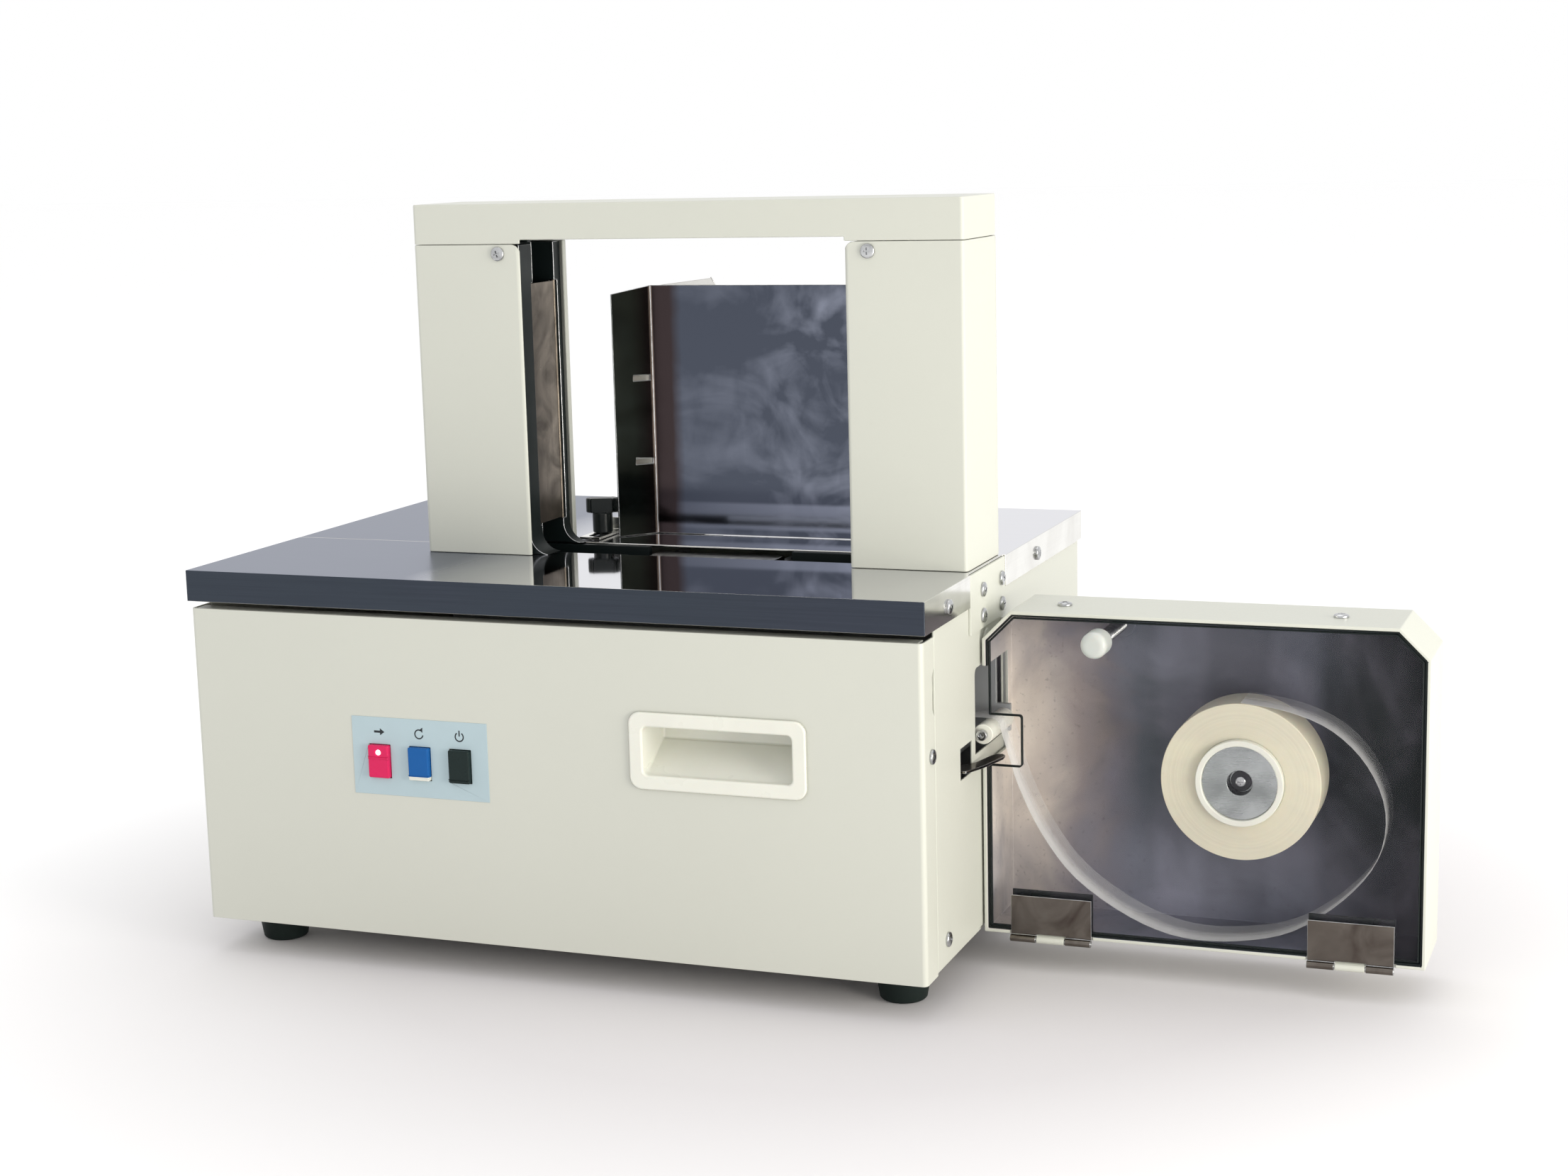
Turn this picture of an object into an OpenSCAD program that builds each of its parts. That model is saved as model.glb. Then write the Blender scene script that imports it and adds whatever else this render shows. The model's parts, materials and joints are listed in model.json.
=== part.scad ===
// Tabletop tape banding machine: cabinet, tape arch, backstop and side tape dispenser.
// Millimetres. X runs to the right seen from the front, Y to the rear, Z up.

/* [Cabinet] */
// Width of the cabinet over its side sheets
cab_w = 450; // [420:1:540]
// Depth of the cabinet over its front and rear sheets
cab_d = 332; // [300:1:400]
// Height from the lower edge of the front panel to the worktop surface
top_z = 211; // [190:1:254]
// Thickness of the cabinet sheet
sheet = 1.2; // [1:0.1:1.6]
// Bend radius of the cabinet's upright corners
bend_r = 3; // [2:0.5:5]
// Height of the front panel
panel_h = 188.5; // [180:0.5:188.5]
// Depth of the front panel's side flanges
flange_d = 20; // [16:1:26]

/* [Worktop] */
// Height of the worktop skirt
skirt_h = 18.4; // [14:0.1:20]
// How far the skirt stands outside the cabinet sheet
overhang = 1.7; // [1.5:0.1:2.5]
// Thickness of the worktop sheet
top_t = 1.2; // [1:0.1:1.6]

/* [Tape] */
// Width of the banding tape
tape_w = 28; // [20:1:30]
// Thickness of the tape web
tape_t = 0.3; // [0.2:0.05:0.4]
// Distance from the cabinet front to the middle of the tape
tape_y = 127; // [124:0.5:130]
// Side gap between the tape and its guides
tape_gap = 0.6; // [0.4:0.1:1]

/* [Arch] */
// Width of the arch opening
open_w = 200; // [160:1:240]
// Height of the arch opening above the worktop
open_h = 186; // [150:1:224]
// Width of each column
col_w = 69.5; // [64:0.5:76]
// Depth of the arch
arch_d = 63; // [63:0.5:72]
// Distance from the cabinet's right side in to the arch
arch_inset = 2.2; // [2:0.1:6]
// Height of the beam cover
beam_h = 23.5; // [20:0.5:30]

/* [Controls] */
// Width of a push button cap
cap_w = 13.2; // [12:0.1:15]
// Height of a push button cap
cap_h = 19.2; // [17:0.1:21]
// Distance from one button to the next
button_pitch = 25.9; // [23:0.1:28]
// Travel of a push button
button_travel = 2.2; // [1:0.1:3]

/* [Handle] */
// Width of the flush handle over its flange
handle_w = 104.5; // [100:0.5:120]
// Height of the flush handle over its flange
handle_h = 44; // [40:0.5:52]
// Depth of the flush handle's cup
handle_depth = 30; // [24:1:34]

/* [Feet] */
// Height of a rubber foot
foot_h = 21; // [18:1:30]
// Radius of a rubber foot where it meets the cabinet
foot_r = 15.5; // [12:0.5:18]

/* [Backstop] */
// Width of the backstop plate
stop_w = 150; // [120:1:156]
// Height of the backstop plate
stop_h = 152; // [120:1:180]
// Travel of the backstop to the rear
stop_travel = 14; // [8:1:16]

/* [Dispenser] */
// Width of the tape dispenser
disp_w = 247.4; // [235:0.2:290]
// Height of the tape dispenser
disp_h = 188; // [184:0.5:188]
// Depth of the tape dispenser
disp_d = 55.2; // [55:0.1:64]
// Thickness of the dispenser's wall
disp_t = 2; // [1.5:0.1:2.5]
// Size of the slanted top corners
disp_cut = 16.5; // [12:0.5:22]
// Thickness of the clear door
door_t = 3; // [2.5:0.1:3]
// Radius of a full tape roll
roll_r = 44.4; // [34:0.1:50]
// Outer radius of the roll's core
core_r = 24.4; // [20:0.1:28]

/* [Hidden] */
$fn = 48;

// Finishes
cream = [0.90, 0.90, 0.85];
steel = [0.72, 0.73, 0.74];
dark = [0.12, 0.15, 0.15];
white = [0.93, 0.93, 0.90];

eps = 0.01;          // overlap that keeps cuts clean
rest_gap = 0.3;      // gap between pieces of different bodies that rest on each other
hole_gap = 0.25;     // radial gap round a screw
pin_gap = 0.06;      // radial running clearance on a pin
foot_y = 39.6;       // foot centres from the front and rear
foot_x = 26.5;       // foot centres from the sides
shell_z0 = 3;        // lower edge of the side sheets
pan_t = 1.5;         // thickness of the base pan
pan_gap = 0.2;       // base pan to cabinet sheet
pan_lip = 22;        // height of the base pan's upturned lips

skirt_z = top_z - skirt_h;
deck_z = top_z - top_t;              // underside of the worktop
wall_top = deck_z - 0.3;             // upper edge of the side sheets

// Arch
arch_x1 = cab_w - arch_inset;
arch_x0 = arch_x1 - 2 * col_w - open_w;
open_x0 = arch_x0 + col_w;
open_x1 = open_x0 + open_w;
mid_x = (open_x0 + open_x1) / 2;
arch_y0 = tape_y - 35;
arch_y1 = arch_y0 + arch_d;
seam_z = top_z + open_h - 2.5;       // joint between column and beam covers
beam_z = top_z + open_h;             // underside of the beam between the columns
arch_top = seam_z + beam_h;
cover_t = 1.5;                       // arch cover sheet

// Tape track
slot_y0 = tape_y - tape_w / 2 - tape_gap;
slot_y1 = tape_y + tape_w / 2 + tape_gap;
guide_t = 4.4;                       // thickness of a guide flange
chan_d = 20;                         // depth of the track channel
track_in = 2.4;                      // track flange edge behind the opening's side
track_fillet = 12;                   // rounded foot of the left track's guide bars
track_z0 = top_z + 0.3;
track_z1 = seam_z - 0.5;
gate_pin_x = -track_in - 1.7;        // gate pin from the opening's side
gate_pin_y = slot_y1 + 2.2;
gate_t = 0.8;                        // spring steel gate
gate_z0 = top_z + 16;                // lower and upper end of a gate
gate_z1 = seam_z - 24;

// Screws: pan heads
head_r = 4.2;
head_h = 2.2;
shank_r = 2;
mount_t = 1.5;                       // arch mounting plate
skirt_screw_y = [42, 224];
low_screws = [[13.4, 124.5], [38.2, 15.4]];
mount_screws = [[tape_y - 19, skirt_z + 6.3], [tape_y + 19, skirt_z + 6.3], [tape_y - 19, skirt_z - 8.5],
  [tape_y + 19, skirt_z - 8.5]];
arch_screw_z = seam_z - 5.5;
arch_screw_in = 14;                  // arch screws from the opening's side

// Controls
first_button_x = 122;
button_z = 104.3;
decal_w = 87;
decal_h = 45.8;
decal_z = 107.2;
decal_t = 0.3;
cap_gap = 0.35;
cap_proud = 3.2;                     // cap face in front of the panel
housing_t = 1.5;

// Handle
handle_x = 331.8;
handle_z = 121;
handle_lip = 7.5;                    // flange width round the opening
handle_proud = 2;

// Backstop
stop_x = 218;                        // fold between plate and wing
stop_y = 188.4;
stop_t = 1.2;
slot_h = 3.2;                        // slots in the wing
brace_t = 1.2;
brace_w = 43;
brace_rise = 4.8;
wing_dx = -17;
wing_dy = -20.5;
clamp_x = 187;
clamp_y = 174;
clamp_slot = 5.4;
foot_t = 1.5;
foot_z = top_z + rest_gap;           // underside of the backstop's foot

// Dispenser
disp_gap = 1.4;                      // spacer gap between cabinet and dispenser
dx0 = cab_w + disp_gap;
dx1 = dx0 + disp_w;
dz0 = -0.5;
dz1 = dz0 + disp_h;
dy0 = tape_y - 22;
dy1 = dy0 + disp_d;
seal_t = 1;
door_gap = 0.4;
door_in = disp_t + seal_t + door_gap;
door_y0 = dy0 + 0.4;
notch_x = dx0 + 22;
notch_z0 = 98.5;
notch_z1 = 127;
hinge_y = dy0 - 1.6;
hinge_z = dz0 - 1.7;
hinge_r = 2;
pin_r = 1;
clip_w = 47;
clip_h = 27;
clip_t = 0.8;
clip_tab = 17;
clip_x = [dx0 + 15.8, dx1 - 63.5];
latch_x = dx0 + 68;
latch_z = dz0 + 173.5;
latch_r = 3;
knob_r = 7.5;
knob_len = 15;

// Roll
roll_x = dx0 + 145;
roll_z = 95.6;
roll_y0 = tape_y - tape_w / 2;
roll_y1 = tape_y + tape_w / 2;
core_t = 3.4;
core_over = 4.2;                     // core beyond each face of the roll
hub_hole = 7;
spindle_r = 5;

// Tape feed
idler_x = cab_w + 3.5;
idler_z = 117.4;
idler_r = 5.8;
axle_r = 1.6;
nip_x = cab_w - 35;
pinch_r = 8;
drive_r = 12;
web_z = idler_z + idler_r + rest_gap;          // underside of the web over the idler
pinch_z = web_z - rest_gap - pinch_r;
drive_z = web_z + tape_t + rest_gap + drive_r;
plate_y = tape_y + 16;                         // front face of the feed bracket
plate_t = 3;
lever_x = cab_w - 18;
lever_z = 102.5;
lever_t = 1.6;
lever_pin = 3;
arm_y = tape_y - 24;                           // inner arm of the lever

// Sealing head
head_x0 = mid_x - 40;
head_x1 = mid_x + 40;
side_t = 3;
cam_z = 110;
cam_r = 14;
cam_throw = 4;
shaft_r = 6;
blade_z0 = cam_z + cam_r + cam_throw + 1.5;
blade_z1 = deck_z - 12;
anvil_t = 3;
anvil_travel = 36;                   // anvil slides out of the band by this much
anvil_z = deck_z - 5.4;
guide_z = 156;
guide_h = 10;

// Web route from the roll's upper side round the loose loop to the idler, (x, z) of its middle
web_route = [[roll_x, roll_z + roll_r + 0.6], [roll_x + 26, 137], [roll_x + 50, 127.5], [roll_x + 69, 109],
  [roll_x + 79, 84], [roll_x + 75, 57], [roll_x + 57, 33], [roll_x + 30, 13], [roll_x, 4.6],
  [roll_x - 32, 3.6], [roll_x - 62, 13], [roll_x - 93, 33], [roll_x - 113, 58], [roll_x - 126, 84],
  [roll_x - 132.5, 104]];

// placement of the whole machine: middle of its outer box at the bench
box_x0 = -overhang - head_h;
box_x1 = dx1;
box_y0 = -cap_proud;
box_y1 = cab_d + 3;
module placed() { translate([-(box_x0 + box_x1) / 2, -(box_y0 + box_y1) / 2, foot_h]) children(); }

// ---- helpers ----
module rrect(w, h, r) {
  translate([r, 0]) square([w - 2 * r, h]);
  translate([0, r]) square([w, h - 2 * r]);
  for (x = [r, w - r], y = [r, h - r]) translate([x, y]) circle(r);
}
module slab(x0, x1, y0, y1, z0, z1) { translate([x0, y0, z0]) cube([x1 - x0, y1 - y0, z1 - z0]); }
module along_x(x0, x1, y, z) { translate([x0, y, z]) rotate([90, 0, 90]) linear_extrude(x1 - x0) children(); }
module along_y(y0, y1) { translate([0, y1, 0]) rotate([90, 0, 0]) linear_extrude(y1 - y0) children(); }
module rod_x(x0, x1, y, z, r) { translate([x0, y, z]) rotate([0, 90, 0]) cylinder(h = x1 - x0, r = r); }
module rod_y(y0, y1, x, z, r) { translate([x, y1, z]) rotate([90, 0, 0]) cylinder(h = y1 - y0, r = r); }
module rod_z(z0, z1, x, y, r) { translate([x, y, z0]) cylinder(h = z1 - z0, r = r); }

// pan screw standing on its head's seat, head towards +Z
module pan_screw(len) {
  rotate_extrude() difference() {
    union() {
      square([head_r, head_h * 0.45]);
      intersection() {
        translate([0, -7.2 + head_h]) circle(7.2);
        square([head_r, head_h]);
      }
    }
    translate([-20, -20]) square([20, 60]);
  }
  translate([0, 0, -len]) cylinder(h = len + eps, r = shank_r);
}
// every screw seat as [point, rotation]
right_seats = [for (y = skirt_screw_y) [[cab_w + overhang, y, skirt_z + 8.2], [0, 90, 0]]];
left_seats = [for (y = skirt_screw_y) [[-overhang, y, skirt_z + 8.2], [0, -90, 0]]];
low_right = [for (s = low_screws) [[cab_w, s[0], s[1]], [0, 90, 0]]];
low_left = [for (s = low_screws) [[0, s[0], s[1]], [0, -90, 0]]];
mount_seats = [for (s = mount_screws) [[cab_w + mount_t, s[0], s[1]], [0, 90, 0]]];
arch_screw_x = [open_x0 - arch_screw_in, open_x1 + arch_screw_in];
arch_front = [for (x = arch_screw_x) [[x, arch_y0, arch_screw_z], [90, 0, 0]]];
arch_rear = [for (x = arch_screw_x) [[x, arch_y1, arch_screw_z], [-90, 0, 0]]];
disp_seats = [for (x = [dx0 + 42, dx1 - 51]) [[x, dy0 + 24.5, dz1], [0, 0, 0]]];
all_seats = concat(right_seats, left_seats, low_right, low_left, mount_seats, arch_front, arch_rear,
  disp_seats);
module screw_holes() {
  for (s = all_seats) translate(s[0]) rotate(s[1]) translate([0, 0, -7])
    cylinder(h = 8, r = shank_r + hole_gap);
}

// ---- cabinet ----
module base_pan() color(cream) difference() {
  x0 = sheet + pan_gap;
  y0 = sheet + pan_gap;
  x1 = cab_w - x0;
  y1 = cab_d - y0;
  translate([x0, y0, 0]) linear_extrude(pan_lip) rrect(x1 - x0, y1 - y0, 2.4);
  translate([x0 + pan_t, y0 + pan_t, pan_t]) linear_extrude(pan_lip)
    rrect(x1 - x0 - 2 * pan_t, y1 - y0 - 2 * pan_t, 0.9);
  for (x = [foot_x, cab_w - foot_x], y = [foot_y, cab_d - foot_y])
    rod_z(-1, 4, x, y, shank_r + hole_gap);
  for (i = [0:7]) slab(mid_x - 95 + i * 12, mid_x - 89 + i * 12, 220, 270, -1, 3);
  screw_holes();
}

inlet_y0 = tape_y - 31.5;
inlet_y1 = plate_y + plate_t + 6;
inlet_z0 = 106;
inlet_z1 = 155.4;
rear_x = 60;          // power inlet on the rear sheet
rear_z = 50;
fan_x = 330;          // fan opening on the rear sheet
fan_z = 70;
fan_r = 28;
module cabinet_shell() color(cream) difference() {
  union() {
    sheet_wrap();
    shell_lips();
  }
  screw_holes();
}
module sheet_wrap() difference() {
  translate([0, 0, shell_z0]) linear_extrude(wall_top - shell_z0) difference() {
    translate([0, -20]) rrect(cab_w, cab_d + 20, bend_r);
    translate([sheet, -30]) square([cab_w - 2 * sheet, 30 + cab_d - sheet]);
    translate([-1, -40]) square([cab_w + 2, 40 + flange_d + 0.4]);
  }
  shell_cuts();
}
// strips welded inside the side sheets, which the front panel's flanges slide over
module shell_lips() {
  for (s = [0, 1]) translate([s * cab_w, 0, 0]) mirror([s, 0, 0]) {
    slab(sheet + 0.1, 2 * sheet, 5, flange_d + 9, pan_lip + 2, panel_h - 6);
    slab(sheet - eps, 2 * sheet, flange_d + 0.5, flange_d + 9, pan_lip + 2, panel_h - 6);
  }
}
module shell_cuts() {
  // tape inlet with rounded upper corners
  translate([cab_w - 4, 0, 0]) rotate([90, 0, 90]) linear_extrude(8) {
    translate([inlet_y0, inlet_z0]) rrect(inlet_y1 - inlet_y0, inlet_z1 - inlet_z0, 4);
    translate([inlet_y0, inlet_z0]) square([inlet_y1 - inlet_y0, 10]);
  }
  // release lever slot
  slab(cab_w - 4, cab_w + 4, 66, 89, 98, 116);
  // rear openings
  slab(rear_x - 23.5, rear_x + 23.5, cab_d - 4, cab_d + 4, rear_z - 13.5, rear_z + 13.5);
  for (a = [0:5]) translate([fan_x, 0, fan_z]) rotate([0, a * 60, 0])
    slab(8, fan_r, cab_d - 4, cab_d + 4, -4, 4);
  // cooling louvres on the left side
  for (i = [0:6]) slab(-4, 4, 200 + i * 13, 205 + i * 13, 40, 110);
}

module front_panel() color(cream) difference() {
  union() {
    linear_extrude(panel_h) difference() {
      rrect(cab_w, flange_d + 10, bend_r);
      translate([sheet, sheet]) rrect(cab_w - 2 * sheet, flange_d + 20, bend_r - sheet);
      translate([-1, flange_d]) square([cab_w + 2, 30]);
    }
    slab(bend_r, cab_w - bend_r, sheet - eps, 11, panel_h - sheet, panel_h);
  }
  // half-moon finger notches in both flanges
  for (x = [-1, cab_w - 5]) intersection() {
    translate([x, flange_d + 12, panel_h - 30]) rotate([0, 90, 0]) cylinder(h = 6, r = 18);
    slab(x, x + 6, flange_d - 14, flange_d + 1, panel_h - 60, panel_h);
  }
  for (i = [0:2]) slab(button_x(i) - cap_w / 2 - cap_gap, button_x(i) + cap_w / 2 + cap_gap, -2, 4,
    button_z - cap_h / 2 - cap_gap, button_z + cap_h / 2 + cap_gap);
  translate([handle_x - handle_w / 2 + handle_lip - 1, 6, handle_z - handle_h / 2 + handle_lip - 1])
    rotate([90, 0, 0]) linear_extrude(12)
      rrect(handle_w - 2 * handle_lip + 2, handle_h - 2 * handle_lip + 2, 4);
  screw_holes();
}
function button_x(i) = first_button_x + i * button_pitch;

module control_decal() color([0.72, 0.79, 0.82]) difference() {
  x = button_x(1) - decal_w / 2;
  slab(x, x + decal_w, -decal_t, 0, decal_z - decal_h / 2, decal_z + decal_h / 2);
  for (i = [0:2]) slab(button_x(i) - cap_w / 2 - cap_gap, button_x(i) + cap_w / 2 + cap_gap, -2, 4,
    button_z - cap_h / 2 - cap_gap, button_z + cap_h / 2 + cap_gap);
}

// button cap with a stem behind it
module cap(i) {
  x = button_x(i);
  slab(x - cap_w / 2, x + cap_w / 2, -cap_proud, 6, button_z - cap_h / 2, button_z + cap_h / 2);
  slab(x - 3, x + 3, 6 - eps, 20, button_z - 4, button_z + 4);
}
module feed_button() color([0.91, 0.16, 0.37]) difference() {
  cap(0);
  rod_y(-cap_proud - 1, -cap_proud + 2, button_x(0), button_z + 5.4, 1.6);
}
module reset_button() color([0.12, 0.4, 0.68]) cap(1);
module start_button() color(dark) cap(2);
module feed_lamp() color([1, 0.85, 0.85])
  rod_y(-cap_proud + 0.1, -cap_proud + 2, button_x(0), button_z + 5.4, 1.5);

module button_housings() color([0.16, 0.17, 0.18]) for (i = [0:2]) difference() {
  x = button_x(i);
  w = cap_w / 2 + cap_gap;
  h = cap_h / 2 + cap_gap;
  slab(x - w - housing_t, x + w + housing_t, sheet, 27, button_z - h - housing_t, button_z + h + housing_t);
  slab(x - w, x + w, sheet - 1, 6 + button_travel + 0.5, button_z - h, button_z + h);
  slab(x - 3.4, x + 3.4, 5, 20 + button_travel + 0.5, button_z - 4.4, button_z + 4.4);
}

module flush_handle() color(white) difference() {
  x0 = handle_x - handle_w / 2;
  z0 = handle_z - handle_h / 2;
  iw = handle_w - 2 * handle_lip;
  ih = handle_h - 2 * handle_lip;
  union() {
    translate([x0, 0, z0]) rotate([90, 0, 0]) linear_extrude(handle_proud) rrect(handle_w, handle_h, 7);
    translate([x0 + handle_lip - 0.8, handle_depth, z0 + handle_lip - 0.8]) rotate([90, 0, 0])
      linear_extrude(handle_depth + eps) rrect(iw + 1.6, ih + 1.6, 4);
  }
  // cup with a floor that slopes down to the front
  difference() {
    translate([x0 + handle_lip + 0.8, handle_depth - 1.6, z0 + handle_lip + 0.8]) rotate([90, 0, 0])
      linear_extrude(handle_depth + 6) rrect(iw - 1.6, ih - 1.6, 3);
    along_x(x0 + handle_lip, x0 + handle_lip + iw, 0, z0 + handle_lip)
      polygon([[2, 0], [handle_depth, 0], [handle_depth, 15], [handle_depth - 4, 15]]);
  }
}

module feet() color([0.09, 0.11, 0.11])
  for (x = [foot_x, cab_w - foot_x], y = [foot_y, cab_d - foot_y]) translate([x, y, 0])
    rotate_extrude() polygon([[6, -8], [6, -foot_h], [foot_r - 3.5, -foot_h], [foot_r - 2.2, -foot_h + 1.5],
      [foot_r, -6], [foot_r, 0], [shank_r + hole_gap, 0], [shank_r + hole_gap, -8]]);
module foot_screws() color(steel)
  for (x = [foot_x, cab_w - foot_x], y = [foot_y, cab_d - foot_y]) translate([x, y, -8])
    rotate([180, 0, 0]) pan_screw(15);

module cover_screws() color(steel) for (s = all_seats) translate(s[0]) rotate(s[1]) pan_screw(6);

// ---- worktop ----
// a worktop tray between two depths; the slot for the tape and the skirt gap on the right stay open
gap_y0 = tape_y - 43.5;
gap_y1 = tape_y + 28;
seam_gap = 0.6;
module tray(y0, y1) {
  slab(-overhang, cab_w + overhang, y0, y1, deck_z, top_z);
  slab(-overhang, -overhang + top_t, y0, y1, skirt_z, deck_z + eps);
}
module slot_cut() {
  for (x = up_x) slab(x - 0.5, x + up_w + 0.5, tape_y - 13.5, tape_y + 13.5, deck_z - 1, top_z + 1);
  slab(open_x0 - chan_d - 0.4, open_x1 + chan_d + 0.4, slot_y0 - guide_t - 0.4, slot_y1 + guide_t + 0.4,
    deck_z - 1, top_z + 1);
}
module worktop_front() color(steel) difference() {
  union() {
    tray(-0.6, tape_y - seam_gap / 2);
    slab(-overhang, cab_w + overhang, -0.6, -0.6 + top_t, skirt_z, deck_z + eps);
    slab(cab_w + overhang - top_t, cab_w + overhang, -0.6, gap_y0, skirt_z, deck_z + eps);
  }
  slot_cut();
  slab(cab_w - 0.4, cab_w + 5, gap_y0, tape_y + 1, deck_z - 1, top_z + 1);
  screw_holes();
}
module worktop_rear() color(steel) difference() {
  union() {
    tray(tape_y + seam_gap / 2, cab_d + overhang);
    slab(-overhang, cab_w + overhang, cab_d + overhang - top_t, cab_d + overhang, skirt_z, deck_z + eps);
    slab(cab_w + overhang - top_t, cab_w + overhang, gap_y1, cab_d + overhang, skirt_z, deck_z + eps);
  }
  slot_cut();
  slab(cab_w - 0.4, cab_w + 5, tape_y - 1, gap_y1, deck_z - 1, top_z + 1);
  rod_z(deck_z - 1, top_z + 1, clamp_x, clamp_y, 2.5);
  screw_holes();
}

// ---- arch ----
// one column's front and outer side in one folded sheet, outer side at x = 0
module column_cover() difference() {
  translate([0, 0, top_z + 0.2]) linear_extrude(seam_z - 0.35 - top_z) difference() {
    translate([0, arch_y0]) rrect(col_w, arch_d, 2.5);
    translate([cover_t, arch_y0 + cover_t]) square([col_w + 5, arch_d + 5]);
    translate([-1, arch_y1 - cover_t - 0.1]) square([col_w + 2, 10]);
  }
  // rounded upper corner beside the opening
  along_y(arch_y0 - 1, arch_y0 + 3) translate([col_w - 6, seam_z - 6.15]) difference() {
    square(7);
    circle(6);
  }
}
module column_left_cover() color(cream) difference() {
  translate([arch_x0, 0, 0]) column_cover();
  screw_holes();
}
module column_right_cover() color(cream) difference() {
  translate([arch_x1, 0, 0]) mirror([1, 0, 0]) column_cover();
  screw_holes();
}
// rear sheet with a lip beside the opening
module column_back() {
  slab(0.2, col_w - 0.2, arch_y1 - cover_t, arch_y1, top_z + 0.2, seam_z - 0.15);
  slab(col_w - 1.4, col_w - 0.2, arch_y1 - 4.2, arch_y1, top_z + 0.2, seam_z - 0.15);
}
module column_left_back() color(cream) difference() {
  translate([arch_x0, 0, 0]) column_back();
  screw_holes();
}
module column_right_back() color(cream) difference() {
  translate([arch_x1, 0, 0]) mirror([1, 0, 0]) column_back();
  screw_holes();
}
module beam_cover() color(cream) difference() {
  translate([arch_x0, arch_y0, seam_z + 0.15]) linear_extrude(beam_h - 0.15)
    rrect(arch_x1 - arch_x0, arch_d, 2.5);
  slab(arch_x0 + cover_t, arch_x1 - cover_t, arch_y0 + cover_t, arch_y1 - cover_t,
    seam_z - 1, arch_top - cover_t);
  slab(open_x0, open_x1, arch_y0 - 1, arch_y1 + 1, seam_z - 1, beam_z);
}

// welded steel inside the arch: two uprights, a tie in the beam and a rail below the worktop
up_w = 22;
up_x = [arch_x0 + 12, arch_x1 - 12 - up_w];
rail_y = tape_y - 30;
rail_z0 = deck_z - 40;
module arch_frame() color([0.55, 0.56, 0.57]) difference() {
  union() {
    for (x = up_x) {
      difference() {
        slab(x, x + up_w, tape_y - 13, tape_y + 13, rail_z0, arch_top - 12);
        slab(x + 2, x + up_w - 2, tape_y - 11, tape_y + 20, rail_z0 - 1, arch_top - 11);
      }
      slab(x, x + up_w, rail_y, tape_y - 13 + eps, rail_z0, rail_z0 + 3);
      slab(x, x + up_w, tape_y - 26, tape_y - 13 + eps, seam_z + 4, seam_z + 6);
    }
    slab(up_x[0], up_x[1] + up_w, tape_y - 26, tape_y - 24, seam_z + 4, arch_top - 6);
    slab(up_x[0], cab_w - sheet - 0.3, rail_y, rail_y + 3, rail_z0, deck_z - 4);
    slab(cab_w - sheet - 3.3, cab_w - sheet - 0.3, rail_y, tape_y + 25, rail_z0, deck_z - 4);
  }
  screw_holes();
}
module arch_mount_plate() color(cream) difference() {
  slab(cab_w, cab_w + mount_t, gap_y0 + 1, gap_y1 - 1, skirt_z - 16, top_z - 0.6);
  screw_holes();
}

// one upright track, opening side at x = 0: back, two guide bars with a rounded foot, bores for the gate
flange_y = [[arch_y0 + 4, slot_y0], [slot_y1, arch_y1 - 4.6]];
module fillet(r) difference() {
  square(r);
  translate([r, r]) circle(r);
}
module track_side(foot_r) difference() {
  union() {
    slab(-chan_d, 3 - chan_d, flange_y[0][0], flange_y[1][1], track_z0, track_z1);
    for (f = flange_y) {
      slab(3 - chan_d - eps, -track_in, f[0], f[1], track_z0, track_z1);
      along_y(f[0], f[1]) translate([-track_in - eps, track_z0]) fillet(foot_r);
    }
  }
  // room for the gate, and the bores of its pin above and below
  slab(-track_in - 3.4, 20, slot_y0 - 2, slot_y1 + 4, gate_z0 - 0.5, gate_z1 + 0.5);
  rod_z(gate_z0 - 7, gate_z1 + 7, gate_pin_x, gate_pin_y, 1 + pin_gap);
}
module track_left() color(dark) difference() {
  translate([open_x0, 0, 0]) track_side(track_fillet);
  screw_holes();
}
module track_right() color(dark) difference() {
  translate([open_x1, 0, 0]) mirror([1, 0, 0]) track_side(track_in);
  screw_holes();
}
module track_top() color(dark) difference() {
  slab(open_x0 - chan_d, open_x1 + chan_d, slot_y0 - guide_t, slot_y1 + guide_t,
    seam_z + 0.4, arch_top - 5.2);
  slab(open_x0 - chan_d + 3, open_x1 + chan_d - 3, slot_y0, slot_y1, seam_z - 3, arch_top - 8.2);
  slab(open_x0 - track_in, open_x1 + track_in, arch_y0, arch_y1, seam_z - 3, beam_z + 1.2);
}
module slot_guide() difference() {
  slab(open_x0 - chan_d, head_x0 - 6, slot_y0 - guide_t, slot_y1 + guide_t, deck_z - 14, top_z - 0.8);
  slab(open_x0 - chan_d + 3, head_x0, slot_y0, slot_y1, deck_z - 11, top_z + 1);
}
module slot_guides() color(dark) {
  slot_guide();
  translate([2 * mid_x, 0, 0]) mirror([1, 0, 0]) slot_guide();
}

// spring steel gate that holds the tape in the track, hinged on a pin along its rear edge
module gate() {
  slab(gate_pin_x - gate_t / 2, gate_pin_x + gate_t / 2, slot_y0 - 1.6, gate_pin_y, gate_z0, gate_z1);
  rod_z(gate_z0 - 6, gate_z1 + 6, gate_pin_x, gate_pin_y, 1);
}
module gate_left() color([0.6, 0.56, 0.52]) translate([open_x0, 0, 0]) gate();
module gate_right() color([0.6, 0.56, 0.52]) translate([open_x1, 0, 0]) mirror([1, 0, 0]) gate();

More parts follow.
